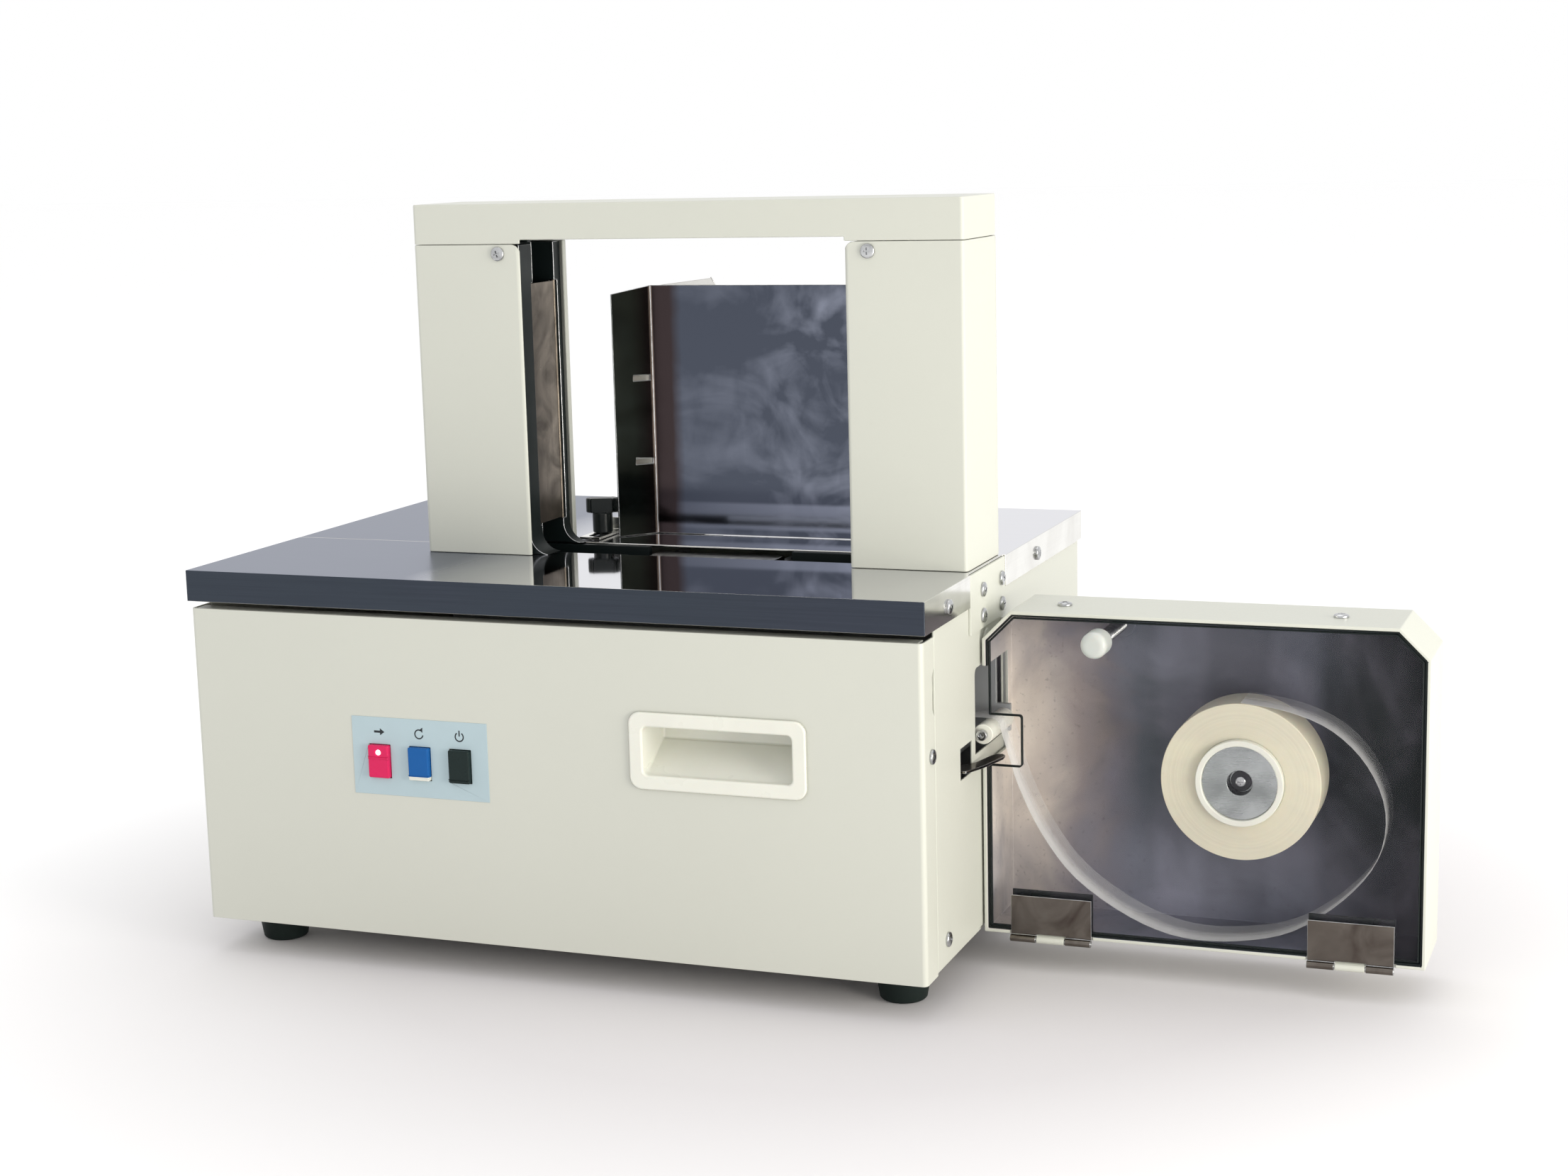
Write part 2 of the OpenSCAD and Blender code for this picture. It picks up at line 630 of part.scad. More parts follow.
// ---- backstop ----
module backstop_plate() color([0.3, 0.29, 0.31]) difference() {
  translate([0, 0, foot_z]) linear_extrude(foot_t + stop_h) union() {
    translate([stop_x, stop_y]) square([stop_w, stop_t]);
    translate([stop_x, stop_y]) rotate(180 + wing_angle) translate([0, -stop_t]) square([wing_len, stop_t]);
    translate([stop_x, stop_y]) intersection() {
      circle(stop_t);
      translate([-5, 0]) square([5, 5]);
    }
  }
  // two slots at the fold
  for (h = [0.28, 0.62]) translate([stop_x, stop_y, top_z + foot_t + stop_h * h]) rotate(180 + wing_angle)
    translate([1.5, -5, 0]) cube([12, 10, slot_h]);
  // sloping upper edge of the wing
  translate([stop_x, stop_y, foot_z + foot_t + stop_h]) rotate([0, 0, 180 + wing_angle]) rotate([0, 9, 0])
    translate([0, -5, 0]) cube([wing_len + 5, 10, 10]);
}
wing_angle = atan2(-wing_dy, -wing_dx);
wing_len = norm([wing_dx, wing_dy]);
brace_slope = atan2(brace_rise, brace_w - 3);
// brace behind the plate and its wing, with a sloping upper edge that shows above the plate
module backstop_brace() difference() {
  translate([stop_x, stop_y, foot_z]) linear_extrude(foot_t + stop_h + brace_rise) {
    translate([0, stop_t]) square([brace_w, brace_t]);
    rotate(180 + wing_angle) translate([0, -stop_t - brace_t]) square([wing_len - 5, brace_t]);
    intersection() {
      difference() {
        circle(stop_t + brace_t);
        circle(stop_t + 0.1);
      }
      polygon([[0.3, 0], [0.3, 9], [-9 * sin(wing_angle) - 0.6, 9 * cos(wing_angle)], [-0.3, 0]]);
    }
  }
  // sloping edge up to the peak, and the short fall behind it
  translate([stop_x, stop_y - 30, foot_z + foot_t + stop_h - 0.6]) rotate([0, -brace_slope, 0])
    translate([-40, 0, 0]) cube([40 + brace_w - 3, 60, 40]);
  translate([stop_x + brace_w - 3, stop_y - 30, foot_z + foot_t + stop_h + brace_rise]) rotate([0, 60, 0])
    cube([30, 60, 30]);
  translate([stop_x, stop_y, foot_z + foot_t + stop_h]) rotate([0, 0, 180 + wing_angle]) rotate([0, 9, 0])
    translate([0, -6, -0.6]) cube([wing_len + 5, 10, 20]);
}
// slotted foot with an upright tab and the brace behind the plate
module backstop_foot() color(steel) difference() {
  union() {
    backstop_brace();
    slab(clamp_x - 7, clamp_x + 7, clamp_y - stop_travel - 6, stop_y + 8, foot_z, foot_z + foot_t - eps);
    slab(clamp_x - 7, stop_x + 30, stop_y + stop_t, stop_y + 14, foot_z, foot_z + foot_t - eps);
    slab(clamp_x - 5, stop_x + 30, stop_y + stop_t, stop_y + stop_t + 1.5, foot_z, top_z + 21);
  }
  hull() for (y = [clamp_y - stop_travel, clamp_y]) rod_z(top_z, top_z + 4, clamp_x, y, clamp_slot / 2);
  slab(clamp_x - 2, clamp_x + 6, stop_y - 1, stop_y + 5, top_z + 9, top_z + 12);
}
module clamp_knob() color(dark) {
  z = top_z + foot_t + 0.6;
  rod_z(z, z + 12.5, clamp_x, clamp_y, 6.2);
  translate([clamp_x, clamp_y, z + 12.5 - eps]) rotate(20) linear_extrude(9) union() {
    translate([-7, -4.5]) square([14, 9]);
    for (s = [-1, 1]) translate([s * 5.5, 0]) circle(4.5);
  }
  rod_z(deck_z - 5, z + eps, clamp_x, clamp_y, 2.44);
}

// ---- dispenser ----
// outline with slanted top corners, drawn in X and Z, inset by d
module disp_outline(d) {
  c = disp_cut - d * (2 - sqrt(2));
  x0 = dx0 + d;
  x1 = dx1 - d;
  z0 = dz0 + d;
  z1 = dz1 - d;
  polygon([[x0, z0], [x1, z0], [x1, z1 - c], [x1 - c, z1], [x0 + c, z1], [x0, z1 - c]]);
}
module dispenser_frame() color(cream) difference() {
  union() {
    along_y(dy0, dy1) difference() {
      disp_outline(0);
      disp_outline(disp_t);
    }
    along_y(dy1 - sheet, dy1) disp_outline(0);
    // boss that carries the spindle and pad that carries the latch post
    rod_y(dy1 - sheet - 3, dy1 - sheet + eps, roll_x, roll_z, 14);
    rod_y(dy1 - sheet - 2, dy1 - sheet + eps, latch_x, latch_z, 8);
    // spacers to the cabinet
    for (y = [dy0 + 12, dy1 - 10], z = [30, 170]) rod_x(cab_w, dx0 + eps, y, z, 5);
    // hinge ears below the front edge
    for (x = clip_x) {
      rod_x(x + clip_w / 2 - clip_tab / 2 + 0.4, x + clip_w / 2 + clip_tab / 2 - 0.4,
        hinge_y, hinge_z, hinge_r);
      slab(x + clip_w / 2 - clip_tab / 2 + 0.4, x + clip_w / 2 + clip_tab / 2 - 0.4, hinge_y, dy0 + 6,
        hinge_z + hinge_r - 1.5, dz0 + eps);
    }
  }
  for (x = clip_x) {
    rod_x(x - 1, x + clip_w + 1, hinge_y, hinge_z, pin_r);
    // room for the clip in front of the lower edge
    for (e = [x - 0.6, x + clip_w / 2 + clip_tab / 2 - 0.4])
      slab(e, e + (clip_w - clip_tab) / 2 + 1, dy0 - 1, door_y0 + 0.4, dz0 - 3, dz0 + disp_t + 1);
    slab(x - 0.6, x + clip_w + 0.6, dy0 - 1, door_y0 + 0.4, dz0 + eps, dz0 + disp_t + 1);
  }
  // tape inlet through the left wall
  slab(dx0 - 1, dx0 + disp_t + 1, dy0 - 1, inlet_y1, notch_z0 - 0.5, inlet_z1);
  rod_y(dy1 - 12, dy1 + 1, roll_x, roll_z, spindle_r);
  rod_y(dy1 - 12, dy1 + 1, latch_x, latch_z, latch_r);
  screw_holes();
}
module dispenser_door() color([0.3, 0.29, 0.33, 0.55]) difference() {
  along_y(door_y0, door_y0 + door_t) disp_outline(door_in);
  slab(dx0 - 1, notch_x, dy0 - 2, dy0 + 8, notch_z0, notch_z1);
  rod_y(dy0 - 2, dy0 + 8, latch_x, latch_z, 3.4);
}
module door_seal() color(dark) difference() {
  along_y(dy0 + 0.8, dy0 + 4) difference() {
    disp_outline(disp_t);
    disp_outline(disp_t + seal_t);
  }
  slab(dx0 - 1, dx0 + disp_t + 2, dy0 - 1, inlet_y1, notch_z0 - 0.5, inlet_z1);
}
// polished clips: a plate on the door's face that rolls into two hinge barrels
module hinge_clips() color([0.65, 0.63, 0.64]) for (x = clip_x) difference() {
  union() {
    slab(x, x + clip_w, door_y0 - clip_t, door_y0, dz0 - 0.9, hinge_z - hinge_r + clip_h);
    rod_x(x, x + clip_w, hinge_y, hinge_z, hinge_r);
    slab(x, x + clip_w, hinge_y - 0.2, door_y0, hinge_z + 0.6, hinge_z + 1.9);
  }
  rod_x(x - 1, x + clip_w + 1, hinge_y, hinge_z, pin_r + pin_gap);
  slab(x + clip_w / 2 - clip_tab / 2, x + clip_w / 2 + clip_tab / 2, hinge_y - 4, dy0 + 3,
    hinge_z - 4, hinge_z + hinge_r + 0.6);
}
module hinge_pins() color(steel) for (x = clip_x) rod_x(x + 0.2, x + clip_w - 0.2, hinge_y, hinge_z, pin_r);
// pull knob with a stem through the door and a collar behind it
module door_knob() color(white) difference() {
  union() {
    rod_y(door_y0 - 2.2 - knob_len, door_y0 - 2.2, latch_x, latch_z, knob_r);
    rod_y(door_y0 - 2.2 - eps, door_y0 - 0.3, latch_x, latch_z, 5.4);
    rod_y(door_y0 - 1, door_y0 + door_t + 6, latch_x, latch_z, 3.34);
  }
  rod_y(door_y0 + door_t - 1, door_y0 + door_t + 7, latch_x, latch_z, 2);
}
module latch_post() color(steel) {
  rod_y(door_y0 + door_t + 6.4, dy1 - sheet, latch_x, latch_z, latch_r);
  rod_y(door_y0 + door_t + 1, door_y0 + door_t + 6.4 + eps, latch_x, latch_z, 1.7);
}

// ---- tape roll ----
module ring_y(y0, y1, x, z, r0, r1) {
  translate([x, y1, z]) rotate([90, 0, 0]) rotate_extrude() translate([r0, 0]) square([r1 - r0, y1 - y0]);
}
module tape_roll() color([0.91, 0.89, 0.83]) ring_y(roll_y0, roll_y1, roll_x, roll_z, core_r, roll_r);
module roll_core() color(white)
  ring_y(roll_y0 - core_over, roll_y1 + core_over, roll_x, roll_z, core_r - core_t, core_r);
module roll_hub() color(steel) difference() {
  union() {
    rod_y(roll_y0 - 2, roll_y0 + 1, roll_x, roll_z, core_r - core_t);
    rod_y(roll_y1 - 3, roll_y1, roll_x, roll_z, core_r - core_t);
    rod_y(roll_y0, roll_y1 + core_over, roll_x, roll_z, spindle_r + 3.5);
  }
  rod_y(roll_y0 + 2, dy1, roll_x, roll_z, spindle_r + pin_gap);
  rod_y(roll_y0 - 8, roll_y0 + 5.8, roll_x, roll_z, hub_hole);
}
module roll_spindle() color(steel) {
  rod_y(roll_y0 + 5.4, dy1, roll_x, roll_z, spindle_r);
  translate([roll_x, roll_y0 + 5.4 + eps, roll_z]) rotate([90, 0, 0]) cylinder(h = 3.2, r = 5.8);
}

// smooth curve through the route, four steps a span
function spline(a, b, c, d, t) = 0.5 * ((2 * b) + (c - a) * t + (2 * a - 5 * b + 4 * c - d) * t * t
  + (3 * b - a - 3 * c + d) * t * t * t);
function smooth(p) = [for (i = [0:len(p) - 2], k = [0:3])
  spline(p[max(i - 1, 0)], p[i], p[i + 1], p[min(i + 2, len(p) - 1)], k / 4)];
// film from the loop over the idler and through the nip
wrap_r = idler_r + rest_gap + tape_t / 2;
web_in = smooth(web_route);
web_wrap = [for (a = [0:15:90]) [idler_x + wrap_r * cos(a), idler_z + wrap_r * sin(a)]];
web_path = concat(web_in, web_wrap, [[nip_x, idler_z + wrap_r], [nip_x - 24, idler_z + wrap_r]]);
function normal_at(p, i) = let (a = p[max(i - 1, 0)], b = p[min(i + 1, len(p) - 1)], d = b - a)
  [-d[1], d[0]] / norm(d);
module tape_web() color([0.9, 0.89, 0.84]) along_y(roll_y0, roll_y1) {
  n = len(web_path) - 1;
  polygon(concat([for (i = [0:n]) web_path[i] + normal_at(web_path, i) * tape_t / 2],
    [for (i = [n:-1:0]) web_path[i] - normal_at(web_path, i) * tape_t / 2]));
}

// ---- tape feed ----
module idler_roller() color(white)
  ring_y(dy0 - 6.6, plate_y - 0.5, idler_x, idler_z, axle_r + pin_gap, idler_r);
module idler_axle() color(steel) {
  rod_y(dy0 - 7, plate_y + plate_t, idler_x, idler_z, axle_r);
  difference() {
    rod_y(dy0 - 10.2, dy0 - 7 + eps, idler_x, idler_z, 3.1);
    translate([idler_x, dy0 - 8, idler_z]) rotate([90, 0, 0]) cylinder(h = 4, r = 1.5, $fn = 6);
  }
}
// release lever: tongue outside the cabinet, tube on the pivot pin and the inner arm with the pinch axle
module release_lever() color([0.66, 0.62, 0.57]) difference() {
  union() {
    translate([0, 0, lever_z - lever_t / 2]) linear_extrude(lever_t)
      polygon([[lever_x, 68], [cab_w + 2.5, 68], [cab_w + 8, 82], [cab_w + 13.4, 105],
        [cab_w + 13, 110.5], [cab_w + 11, roll_y0 - 0.5], [cab_w + 8, roll_y0 - 1.5], [cab_w + 5.4, 106],
        [cab_w + 1.8, 90], [cab_w - 1.5, 83.5], [lever_x, 83.5]]);
    rod_y(68, arm_y + 3, lever_x, lever_z, 5);
    along_y(arm_y, arm_y + 3) hull() {
      translate([lever_x, lever_z]) circle(5, $fn = 32);
      translate([nip_x, pinch_z]) circle(3.5, $fn = 32);
    }
    rod_y(arm_y, roll_y1 + 1.2, nip_x, pinch_z, 2);
  }
  rod_y(60, arm_y + 5, lever_x, lever_z, lever_pin + pin_gap);
}
module pinch_roller() color([0.15, 0.15, 0.15])
  ring_y(roll_y0, roll_y1, nip_x, pinch_z, 2 + pin_gap, pinch_r);
motor_r = 21;
module feed_bracket() color([0.7, 0.71, 0.72]) difference() {
  union() {
    slab(nip_x - 30, cab_w - sheet - 0.3, plate_y, plate_y + plate_t, pan_t, drive_z + 30);
    slab(nip_x - 30, cab_w + 3.5 + 3.5, plate_y, plate_y + plate_t, idler_z - 8, idler_z + 8);
    slab(nip_x - 30, cab_w - sheet - 0.3, plate_y, plate_y + 24, pan_t, pan_t + plate_t);
    // pivot pin of the lever
    rod_y(64, plate_y + eps, lever_x, lever_z, lever_pin);
  }
  rod_y(plate_y - 1, plate_y + 5, nip_x, drive_z, 9);
  rod_y(plate_y - 1, plate_y + 5, idler_x, idler_z, axle_r);
  // room for the base pan's lip
  slab(cab_w - sheet - pan_gap - pan_t - 0.3, cab_w, plate_y - 1, plate_y + 25, 0, pan_lip + 0.3);
}
module feed_motor() color([0.25, 0.26, 0.28]) {
  rod_y(plate_y + plate_t, plate_y + plate_t + 58, nip_x, drive_z, motor_r);
  rod_y(plate_y - 0.5, plate_y + plate_t + eps, nip_x, drive_z, 8.9);
}
module drive_roller() color([0.2, 0.2, 0.22]) {
  rod_y(roll_y0, roll_y1, nip_x, drive_z, drive_r);
  rod_y(roll_y0 - 8, plate_y - 0.8, nip_x, drive_z, 4);
}

// ---- sealing head ----
module head_frame() color([0.6, 0.61, 0.63]) difference() {
  union() {
    for (x = [head_x0, head_x1 - side_t])
      slab(x, x + side_t, tape_y - 24, tape_y + anvil_travel + 22, pan_t, anvil_z - rest_gap);
    slab(head_x0, head_x1, tape_y - 24, tape_y + 30, pan_t, pan_t + 3);
    slab(head_x0, head_x1, slot_y0 - 9, slot_y1 + 9, guide_z, guide_z + guide_h);
  }
  rod_x(head_x0 - 1, head_x1 + 1, tape_y, cam_z, shaft_r + pin_gap);
  for (b = blades)
    slab(b[0] - 0.2, b[1] + 0.2, slot_y0 - 0.2, slot_y1 + 0.2, guide_z - 1, guide_z + guide_h + 1);
}
blades = [[mid_x - 16, mid_x - 6], [mid_x + 8, mid_x + 12]];
// cam shaft with one cam for each blade, thrown down at rest
module cam_shaft() color(steel) {
  rod_x(head_x0 - 12, head_x1 + 10, tape_y, cam_z, shaft_r);
  for (b = blades) rod_x((b[0] + b[1]) / 2 - 4, (b[0] + b[1]) / 2 + 4, tape_y, cam_z - cam_throw, cam_r);
}
module cam_motor() color([0.25, 0.26, 0.28]) {
  difference() {
    slab(head_x1 + 4, head_x1 + 32, tape_y - 22, tape_y + 22, cam_z - 34, cam_z + 18);
    rod_x(head_x1, head_x1 + 12, tape_y, cam_z, shaft_r + pin_gap);
  }
  rod_x(head_x1 + 32 - eps, head_x1 + 60, tape_y, cam_z - 14, 17);
  slab(head_x1 + 4, head_x1 + 32, tape_y - 18, tape_y + 18, pan_t, cam_z - 34 + eps);
}
module blade(b, tip) {
  slab(b[0], b[1], slot_y0, slot_y1, blade_z0, guide_z + guide_h + 8);
  middle = (b[0] + b[1]) / 2;
  slab(middle - tip / 2, middle + tip / 2, slot_y0, slot_y1, guide_z + guide_h + 8 - eps, blade_z1);
}
module heater_blade() color([0.8, 0.65, 0.3]) blade(blades[0], 6);
module cutter_blade() color(steel) blade(blades[1], 1.5);
module seal_anvil() color(steel) slab(head_x0, head_x1, slot_y0 - 6, slot_y1 + 4, anvil_z, anvil_z + anvil_t);

// ---- electrics ----
board_x = [60, 190];
board_y = 62;                        // front face of the board
board_z = [20, 100];
board_t = 1.6;
carrier_y = board_y + 12;            // plate that carries the board, standing on the base pan
module control_board() color([0.1, 0.4, 0.2]) {
  slab(board_x[0], board_x[1], board_y, board_y + board_t, board_z[0], board_z[1]);
  // parts on the board's face
  for (i = [0:2])
    slab(board_x[0] + 15 + i * 38, board_x[0] + 33 + i * 38, board_y - 12, board_y + eps, 50, 68);
  // stand-offs and the carrier
  for (x = [board_x[0] + 6, board_x[1] - 6], z = [board_z[0] + 6, board_z[1] - 6])
    rod_y(board_y + board_t - eps, carrier_y + eps, x, z, 3);
  slab(board_x[0] + 1, board_x[1] - 1, carrier_y, carrier_y + 1.5, pan_t, board_z[1] - 2);
}
supply_size = [120, 90, 43.5];
module power_supply() color(steel) translate([70, 200, pan_t]) cube(supply_size);

inlet_flange = [53, 3, 32];          // power inlet over its flange
inlet_body = [46.4, 28, 26.4];       // body behind the rear sheet
rocker_tilt = 14;
rocker_x = [rear_x + 9.4, rear_x + 20.6];
rocker_y = cab_d - 3;
rocker_pin = 1.2;
module rear_box(size, y) translate([rear_x - size[0] / 2, y, rear_z - size[2] / 2]) cube(size);
module power_inlet() color(dark) difference() {
  union() {
    rear_box(inlet_flange, cab_d);
    rear_box([inlet_body[0], inlet_body[1] + eps, inlet_body[2]], cab_d - inlet_body[1]);
  }
  // socket and the well of the rocker
  slab(rear_x - 20, rear_x + 4, cab_d - 14, cab_d + 4, rear_z - 8, rear_z + 8);
  slab(rocker_x[0] - 0.4, rocker_x[1] + 0.4, cab_d - 12, cab_d + 4, rear_z - 10, rear_z + 10);
  rod_x(rocker_x[0] - 1.6, rocker_x[1] + 1.6, rocker_y, rear_z, rocker_pin + pin_gap);
}
module power_rocker() color([0.7, 0.08, 0.08]) {
  along_x(rocker_x[0], rocker_x[1], rocker_y, rear_z) rotate(rocker_tilt / 2)
    polygon([[-4, -9], [3.4, -9], [1.6, 0], [3.4, 9], [-4, 9]]);
  rod_x(rocker_x[0] - 1.5, rocker_x[1] + 1.5, rocker_y, rear_z, rocker_pin);
}

placed() base_pan();
placed() cabinet_shell();
placed() front_panel();
placed() control_decal();
placed() feed_button();
placed() reset_button();
placed() start_button();
placed() button_housings();
placed() feed_lamp();
placed() flush_handle();
placed() feet();
placed() foot_screws();
placed() cover_screws();
placed() worktop_front();
placed() worktop_rear();
placed() column_left_cover();
placed() column_left_back();
placed() column_right_cover();
placed() column_right_back();
placed() beam_cover();
placed() arch_frame();
placed() arch_mount_plate();
placed() track_left();
placed() track_right();
placed() track_top();
placed() slot_guides();
placed() gate_left();
placed() gate_right();
placed() backstop_plate();
placed() backstop_foot();
placed() clamp_knob();
placed() dispenser_frame();
placed() dispenser_door();
placed() door_seal();
placed() hinge_clips();
placed() hinge_pins();
placed() door_knob();
placed() latch_post();
placed() tape_roll();
placed() roll_core();
placed() roll_hub();
placed() roll_spindle();
placed() tape_web();
placed() idler_roller();
placed() idler_axle();
placed() release_lever();
placed() pinch_roller();
placed() feed_bracket();
placed() feed_motor();
placed() drive_roller();
placed() head_frame();
placed() cam_shaft();
placed() cam_motor();
placed() heater_blade();
placed() cutter_blade();
placed() seal_anvil();
placed() control_board();
placed() power_supply();
placed() power_inlet();
placed() power_rocker();
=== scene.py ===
"""Looks of a tabletop tape banding machine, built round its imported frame.

Lengths are in metres and places are in the frame's own axes: X to the tape dispenser, Y to the rear, Z up.
"""

import json
import logging
import math
from dataclasses import dataclass, field
from enum import Enum
from typing import Callable, Dict, List, Optional, Sequence, Tuple, Union

import bmesh
import bpy
from mathutils import Matrix, Vector


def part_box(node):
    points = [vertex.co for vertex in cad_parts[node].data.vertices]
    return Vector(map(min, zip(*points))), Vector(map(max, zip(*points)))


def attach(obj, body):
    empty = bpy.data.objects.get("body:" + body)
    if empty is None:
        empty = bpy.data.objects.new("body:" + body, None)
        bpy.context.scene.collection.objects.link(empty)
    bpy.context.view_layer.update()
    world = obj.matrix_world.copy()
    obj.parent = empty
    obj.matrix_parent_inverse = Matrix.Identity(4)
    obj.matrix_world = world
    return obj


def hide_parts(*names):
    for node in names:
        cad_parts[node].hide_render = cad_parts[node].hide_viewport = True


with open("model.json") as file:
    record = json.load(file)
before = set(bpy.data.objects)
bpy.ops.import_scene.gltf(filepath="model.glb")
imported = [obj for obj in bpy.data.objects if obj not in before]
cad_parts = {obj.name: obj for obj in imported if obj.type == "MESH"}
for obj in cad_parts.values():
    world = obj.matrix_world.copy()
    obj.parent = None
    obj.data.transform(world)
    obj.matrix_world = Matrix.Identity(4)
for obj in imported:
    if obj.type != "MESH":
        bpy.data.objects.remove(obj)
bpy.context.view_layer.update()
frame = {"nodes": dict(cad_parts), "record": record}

LOG = logging.getLogger("banding_machine")
MM = 0.001
Colour = Tuple[float, float, float, float]
Material = bpy.types.Material
Mesh = bpy.types.Mesh
Piece = bpy.types.Object
Points = Sequence[Sequence[float]]
Triple = Tuple[float, float, float]


class Axis(Enum):
    """The frame's axes, as indices of a vector."""

    X = 0
    Y = 1
    Z = 2


# ---------------------------------------------------------------- shader maths
class Value:
    """A number, colour or vector on its way through a material's nodes."""

    def __init__(self, shader: "Shader", socket: bpy.types.NodeSocket) -> None:
        """Wraps one output socket of a shader's tree."""
        self.shader = shader
        self.socket = socket

    def _maths(self, operation: str, first: "Number", second: "Number") -> "Value":
        """Adds one Math node.

        Args:
            operation: The Math node's operation.
            first: Its first input.
            second: Its second input.

        Returns:
            The node's output.
        """
        return self.shader.add("ShaderNodeMath", {"operation": operation}, {0: first, 1: second})

    def __add__(self, other: "Number") -> "Value":
        """This value plus another."""
        return self._maths("ADD", self, other)

    def __radd__(self, other: "Number") -> "Value":
        """Another value plus this one."""
        return self._maths("ADD", other, self)

    def __sub__(self, other: "Number") -> "Value":
        """This value minus another."""
        return self._maths("SUBTRACT", self, other)

    def __rsub__(self, other: "Number") -> "Value":
        """Another value minus this one."""
        return self._maths("SUBTRACT", other, self)

    def __mul__(self, other: "Number") -> "Value":
        """This value times another."""
        return self._maths("MULTIPLY", self, other)

    def __rmul__(self, other: "Number") -> "Value":
        """Another value times this one."""
        return self._maths("MULTIPLY", other, self)

    def __pow__(self, power: "Number") -> "Value":
        """This value to a power."""
        return self._maths("POWER", self, power)

    def wave(self) -> "Value":
        """The sine of this value."""
        return self._maths("SINE", self, 0.0)


Number = Union[Value, float]


class Shader:
    """One material with a Principled surface and the nodes that feed it."""

    def __init__(self, name: str, uniform: Dict[str, object]) -> None:
        """Makes the material.

        Args:
            name: The material's name.
            uniform: Surface sockets and the one value that each has all over.
        """
        self.material = bpy.data.materials.new(name)
        self.material.use_nodes = True
        self.tree = self.material.node_tree
        self.surface = self.tree.nodes["Principled BSDF"]
        for socket, value in uniform.items():
            self.surface.inputs[socket].default_value = value

    def add(self, kind: str, settings: Dict[str, object], inputs: Dict[Union[int, str], object],
            output: Union[int, str] = 0) -> Value:
        """Adds one node.

        Args:
            kind: The node's type.
            settings: Its properties, and "stops" for a ramp.
            inputs: Values or links of its sockets.
            output: The socket to hand back.

        Returns:
            The chosen output.
        """
        node = self.tree.nodes.new(kind)
        for name, value in settings.items():
            if name == "stops":
                elements = node.color_ramp.elements
                for index, (place, colour) in enumerate(value):
                    element = elements[index] if index < 2 else elements.new(place)
                    element.position = place
                    element.color = colour
            else:
                setattr(node, name, value)
        for key, value in inputs.items():
            if isinstance(value, Value):
                self.tree.links.new(value.socket, node.inputs[key])
            else:
                node.inputs[key].default_value = value
        return Value(self, node.outputs[output])

    def place(self) -> Value:
        """Where a surface point lies on its piece, in metres."""
        return self.add("ShaderNodeTexCoord", {}, {}, "Object")

    def along(self, axis: Axis) -> Value:
        """One coordinate of the place."""
        return self.add("ShaderNodeSeparateXYZ", {}, {0: self.place()}, axis.value)

    def noise(self, scale: float, detail: float = 3.0, stretch: Triple = (1.0, 1.0, 1.0),
              distortion: float = 0.0) -> Value:
        """A soft random pattern from 0 to 1.

        Args:
            scale: Marks per metre.
            detail: How many finer layers it has.
            stretch: How much denser it is along each axis.
            distortion: How far it is smeared.

        Returns:
            The pattern's value.
        """
        spread = self.add("ShaderNodeVectorMath", {"operation": "MULTIPLY"}, {0: self.place(), 1: stretch})
        return self.add("ShaderNodeTexNoise", {}, {"Vector": spread, "Scale": scale, "Detail": detail,
                                                   "Distortion": distortion})

    def ramp(self, value: Value, stops: List[Tuple[float, Colour]]) -> Value:
        """Turns a value into a colour by a ramp."""
        return self.add("ShaderNodeValToRGB", {"stops": stops}, {0: value})

    def steps(self, value: Value, low: float, high: float, first: float = 0.0, last: float = 1.0) -> Value:
        """Maps a value from low..high to first..last, and holds it there."""
        return self.add("ShaderNodeMapRange", {}, {0: value, 1: low, 2: high, 3: first, 4: last})

    def mix(self, share: Number, first: object, second: object) -> Value:
        """Mixes two colours by a share of the second."""
        return self.add("ShaderNodeMix", {"data_type": "RGBA"}, {0: share, 6: first, 7: second}, 2)

    def feed(self, socket: str, value: Value) -> None:
        """Links a varying value to one of the surface's sockets."""
        self.tree.links.new(value.socket, self.surface.inputs[socket])

    def bump(self, height: Value, distance: float, strength: float) -> None:
        """Gives the surface a fine relief of the given depth."""
        self.feed("Normal", self.add("ShaderNodeBump", {}, {"Strength": strength, "Distance": distance,
                                                            "Height": height}))


def colour_of(code: str) -> Colour:
    """Turns a colour's six hexadecimal digits into an opaque linear colour."""
    parts = [int(code[index:index + 2], 16) / 255 for index in (0, 2, 4)]
    linear = [part / 12.92 if part <= 0.04045 else ((part + 0.055) / 1.055) ** 2.4 for part in parts]
    return (linear[0], linear[1], linear[2], 1.0)


def shade(colour: Colour, factor: float) -> Colour:
    """A lighter or darker copy of a colour."""
    return (colour[0] * factor, colour[1] * factor, colour[2] * factor, colour[3])


# ---------------------------------------------------------------- finishes
@dataclass(frozen=True)
class Finish:
    """What every finish has: its material's name, its main colour and a way to build it."""

    name: str
    code: str

    def make(self) -> Material:
        """Builds the material, which each kind of finish does in its own way."""
        raise NotImplementedError(self.name)


